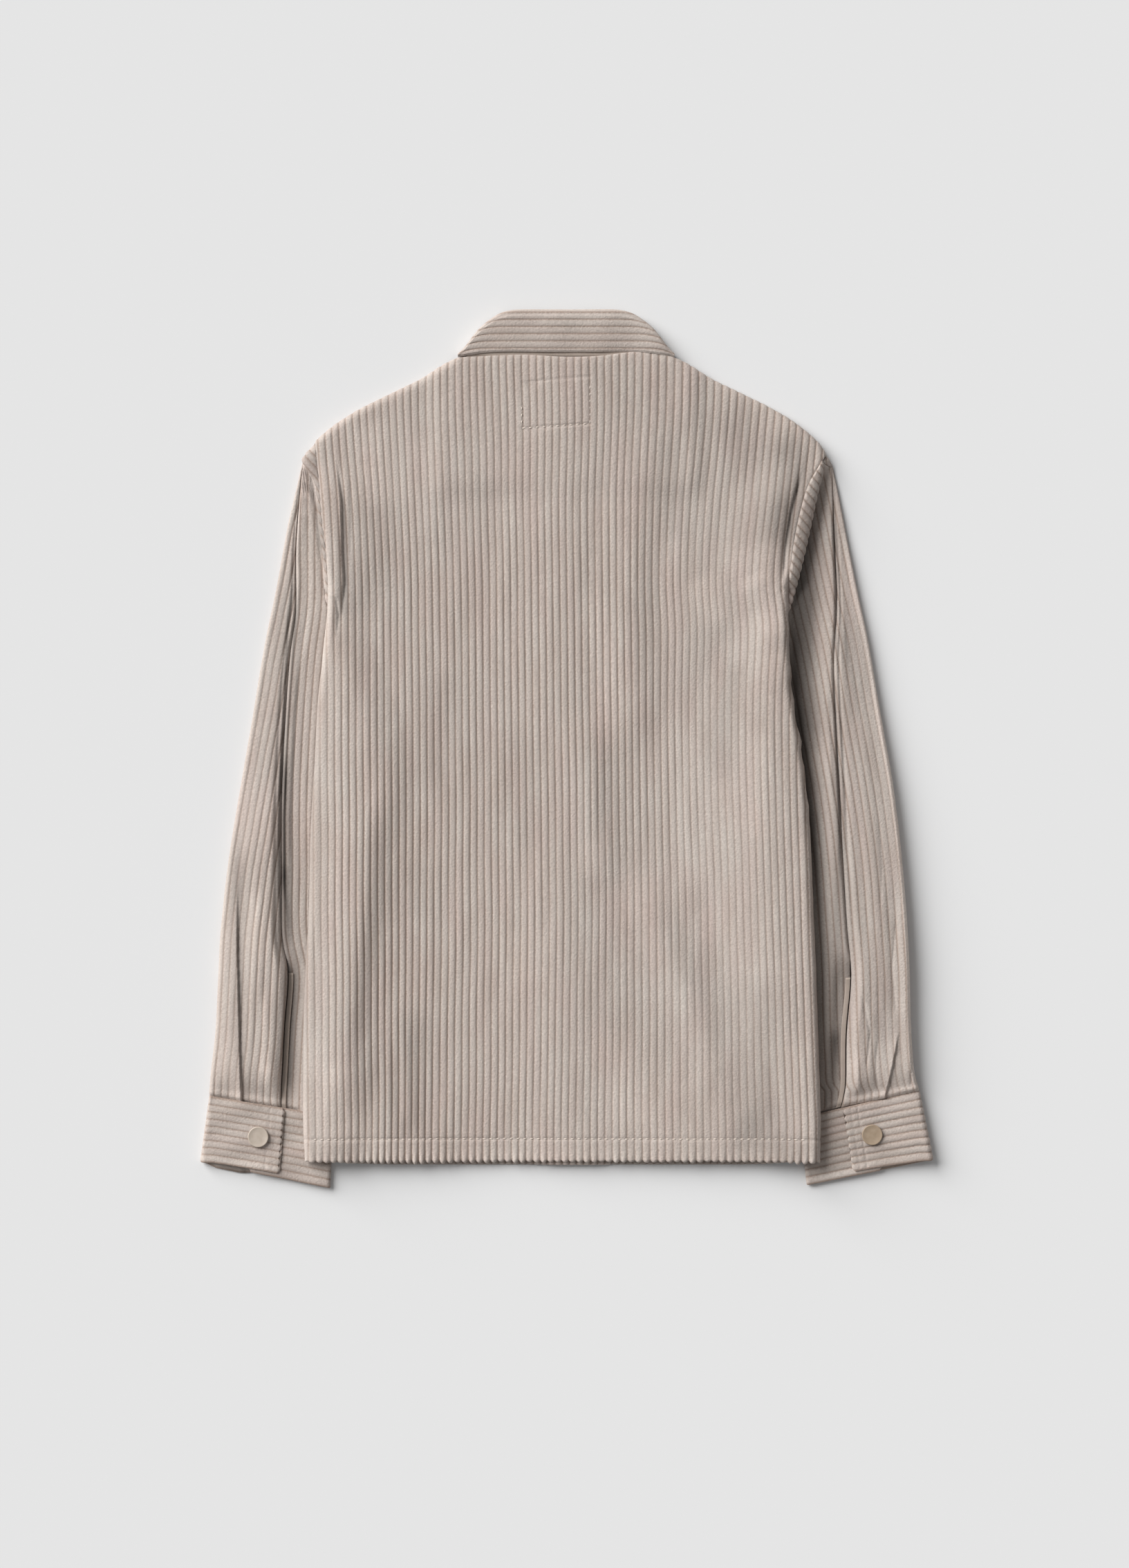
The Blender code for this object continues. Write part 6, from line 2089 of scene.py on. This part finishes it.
HEADS = (
    SleeveHead(
        Side.LEFT,
        (
            (277, 1.0), (272, 7.0), (262, 13.5), (254, 9.5), (247, 4.5), (238, 3.0), (200, 2.8), (172, 2.4),
            (140, 2.6), (122, 0.4),
        ),
        base_z=0.0024, lift=-0.0002, nap=-0.34,
    ),
    SleeveHead(
        Side.RIGHT,
        (
            (262, 0.6), (256, 4.0), (246, 8.0), (235, 10.0), (211, 11.4), (192, 11.2), (171, 9.6), (141, 5.2),
            (124, 0.8),
        ),
        base_z=0.0062, lift=0.0008, nap=-0.18,
    ),
)
CUFFS = (
    Cuff(
        Side.LEFT, seam_outer=(-0.3258, -0.3169), seam_inner=(-0.2120, -0.3355),
        free_outer=(-0.3340, -0.3755), free_inner=(-0.2145, -0.3995),
        over_end=0.59, under_end=0.39, softness=0.55, outer_top=0.0060, opening=0.045,
    ),
    Cuff(
        Side.RIGHT, seam_outer=(0.3220, -0.3113), seam_inner=(0.2120, -0.3375),
        free_outer=(0.3345, -0.3735), free_inner=(0.2187, -0.3968),
        over_end=0.615, under_end=0.42, softness=0.15, outer_top=0.0104, opening=0.0,
    ),
)
PALE_ENAMEL = SnapEnamel("pale_enamelled_brass", "#B6A798", "#C8BCAF")
BROWN_ENAMEL = SnapEnamel("brown_enamelled_brass", "#97836D", "#AE9B86")


def main() -> None:
    """Set up the studio, then build and dress every piece of the shirt."""
    logging.basicConfig(level=logging.INFO, format="%(message)s")
    Studio().build()
    pile = CorduroyPile().material()
    pressed = CorduroyPile(name="cotton_corduroy_pressed", pressed=True).material()
    weave = PlainWeave().material()
    back = BackPanel()
    back_piece = dress(back.build(), pile, Slot.CORDUROY, ("back",))
    fronts = []
    for side in Side:
        front = dress(FrontPanel(side).build(), pressed, Slot.CORDUROY, ("front_" + side.label,))
        fronts.append(front)
    thread = Shell()
    for line in stitch_lines(back):
        StitchRun().add(thread, line)
    stitches = dress(thread.to_object("stitching"), SpunThread().material(), Slot.LINING)
    [front.name for front in fronts]

    for sleeve, head in zip(SLEEVES, HEADS):
        label = sleeve.side.label
        cloth = dress(sleeve.build(), pile, Slot.CORDUROY, ("sleeve_" + label,))
        roll = dress(head.build(), pile, Slot.CORDUROY)
        facing = dress(VentFacing(sleeve).build(), weave, Slot.LINING, ("vent_facing_" + label,))
        cloth.name
    for cuff in CUFFS:
        band = dress(cuff.build(), pile, Slot.CORDUROY, ("cuff_" + cuff.side.label,))

    fall = dress(CollarFall().build(), pile, Slot.CORDUROY, ("collar_fall",))
    stand = dress(CollarStand().build(), weave, Slot.LINING, ("collar_stand",))
    stand.name

    pale = PALE_ENAMEL.material()
    brown = BROWN_ENAMEL.material()
    for side, finish in ((Side.LEFT, pale), (Side.RIGHT, brown)):
        node = "cuff_snap_" + side.label
        dress(SnapCap("cuff_cap_" + side.label, node).build(), finish, Slot.SNAP, (node,))
    for number in range(1, 7):
        node = "front_snap_%d" % number
        cap = SnapCap("front_cap_%d" % number, node, face_up=False)
        dress(cap.build(), pale, Slot.SNAP, (node,))


if __name__ == "__main__":
    main()
    boxes = {"cad": [list(corner) for corner in CAD_BOX], "visual": [list(corner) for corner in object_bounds()]}
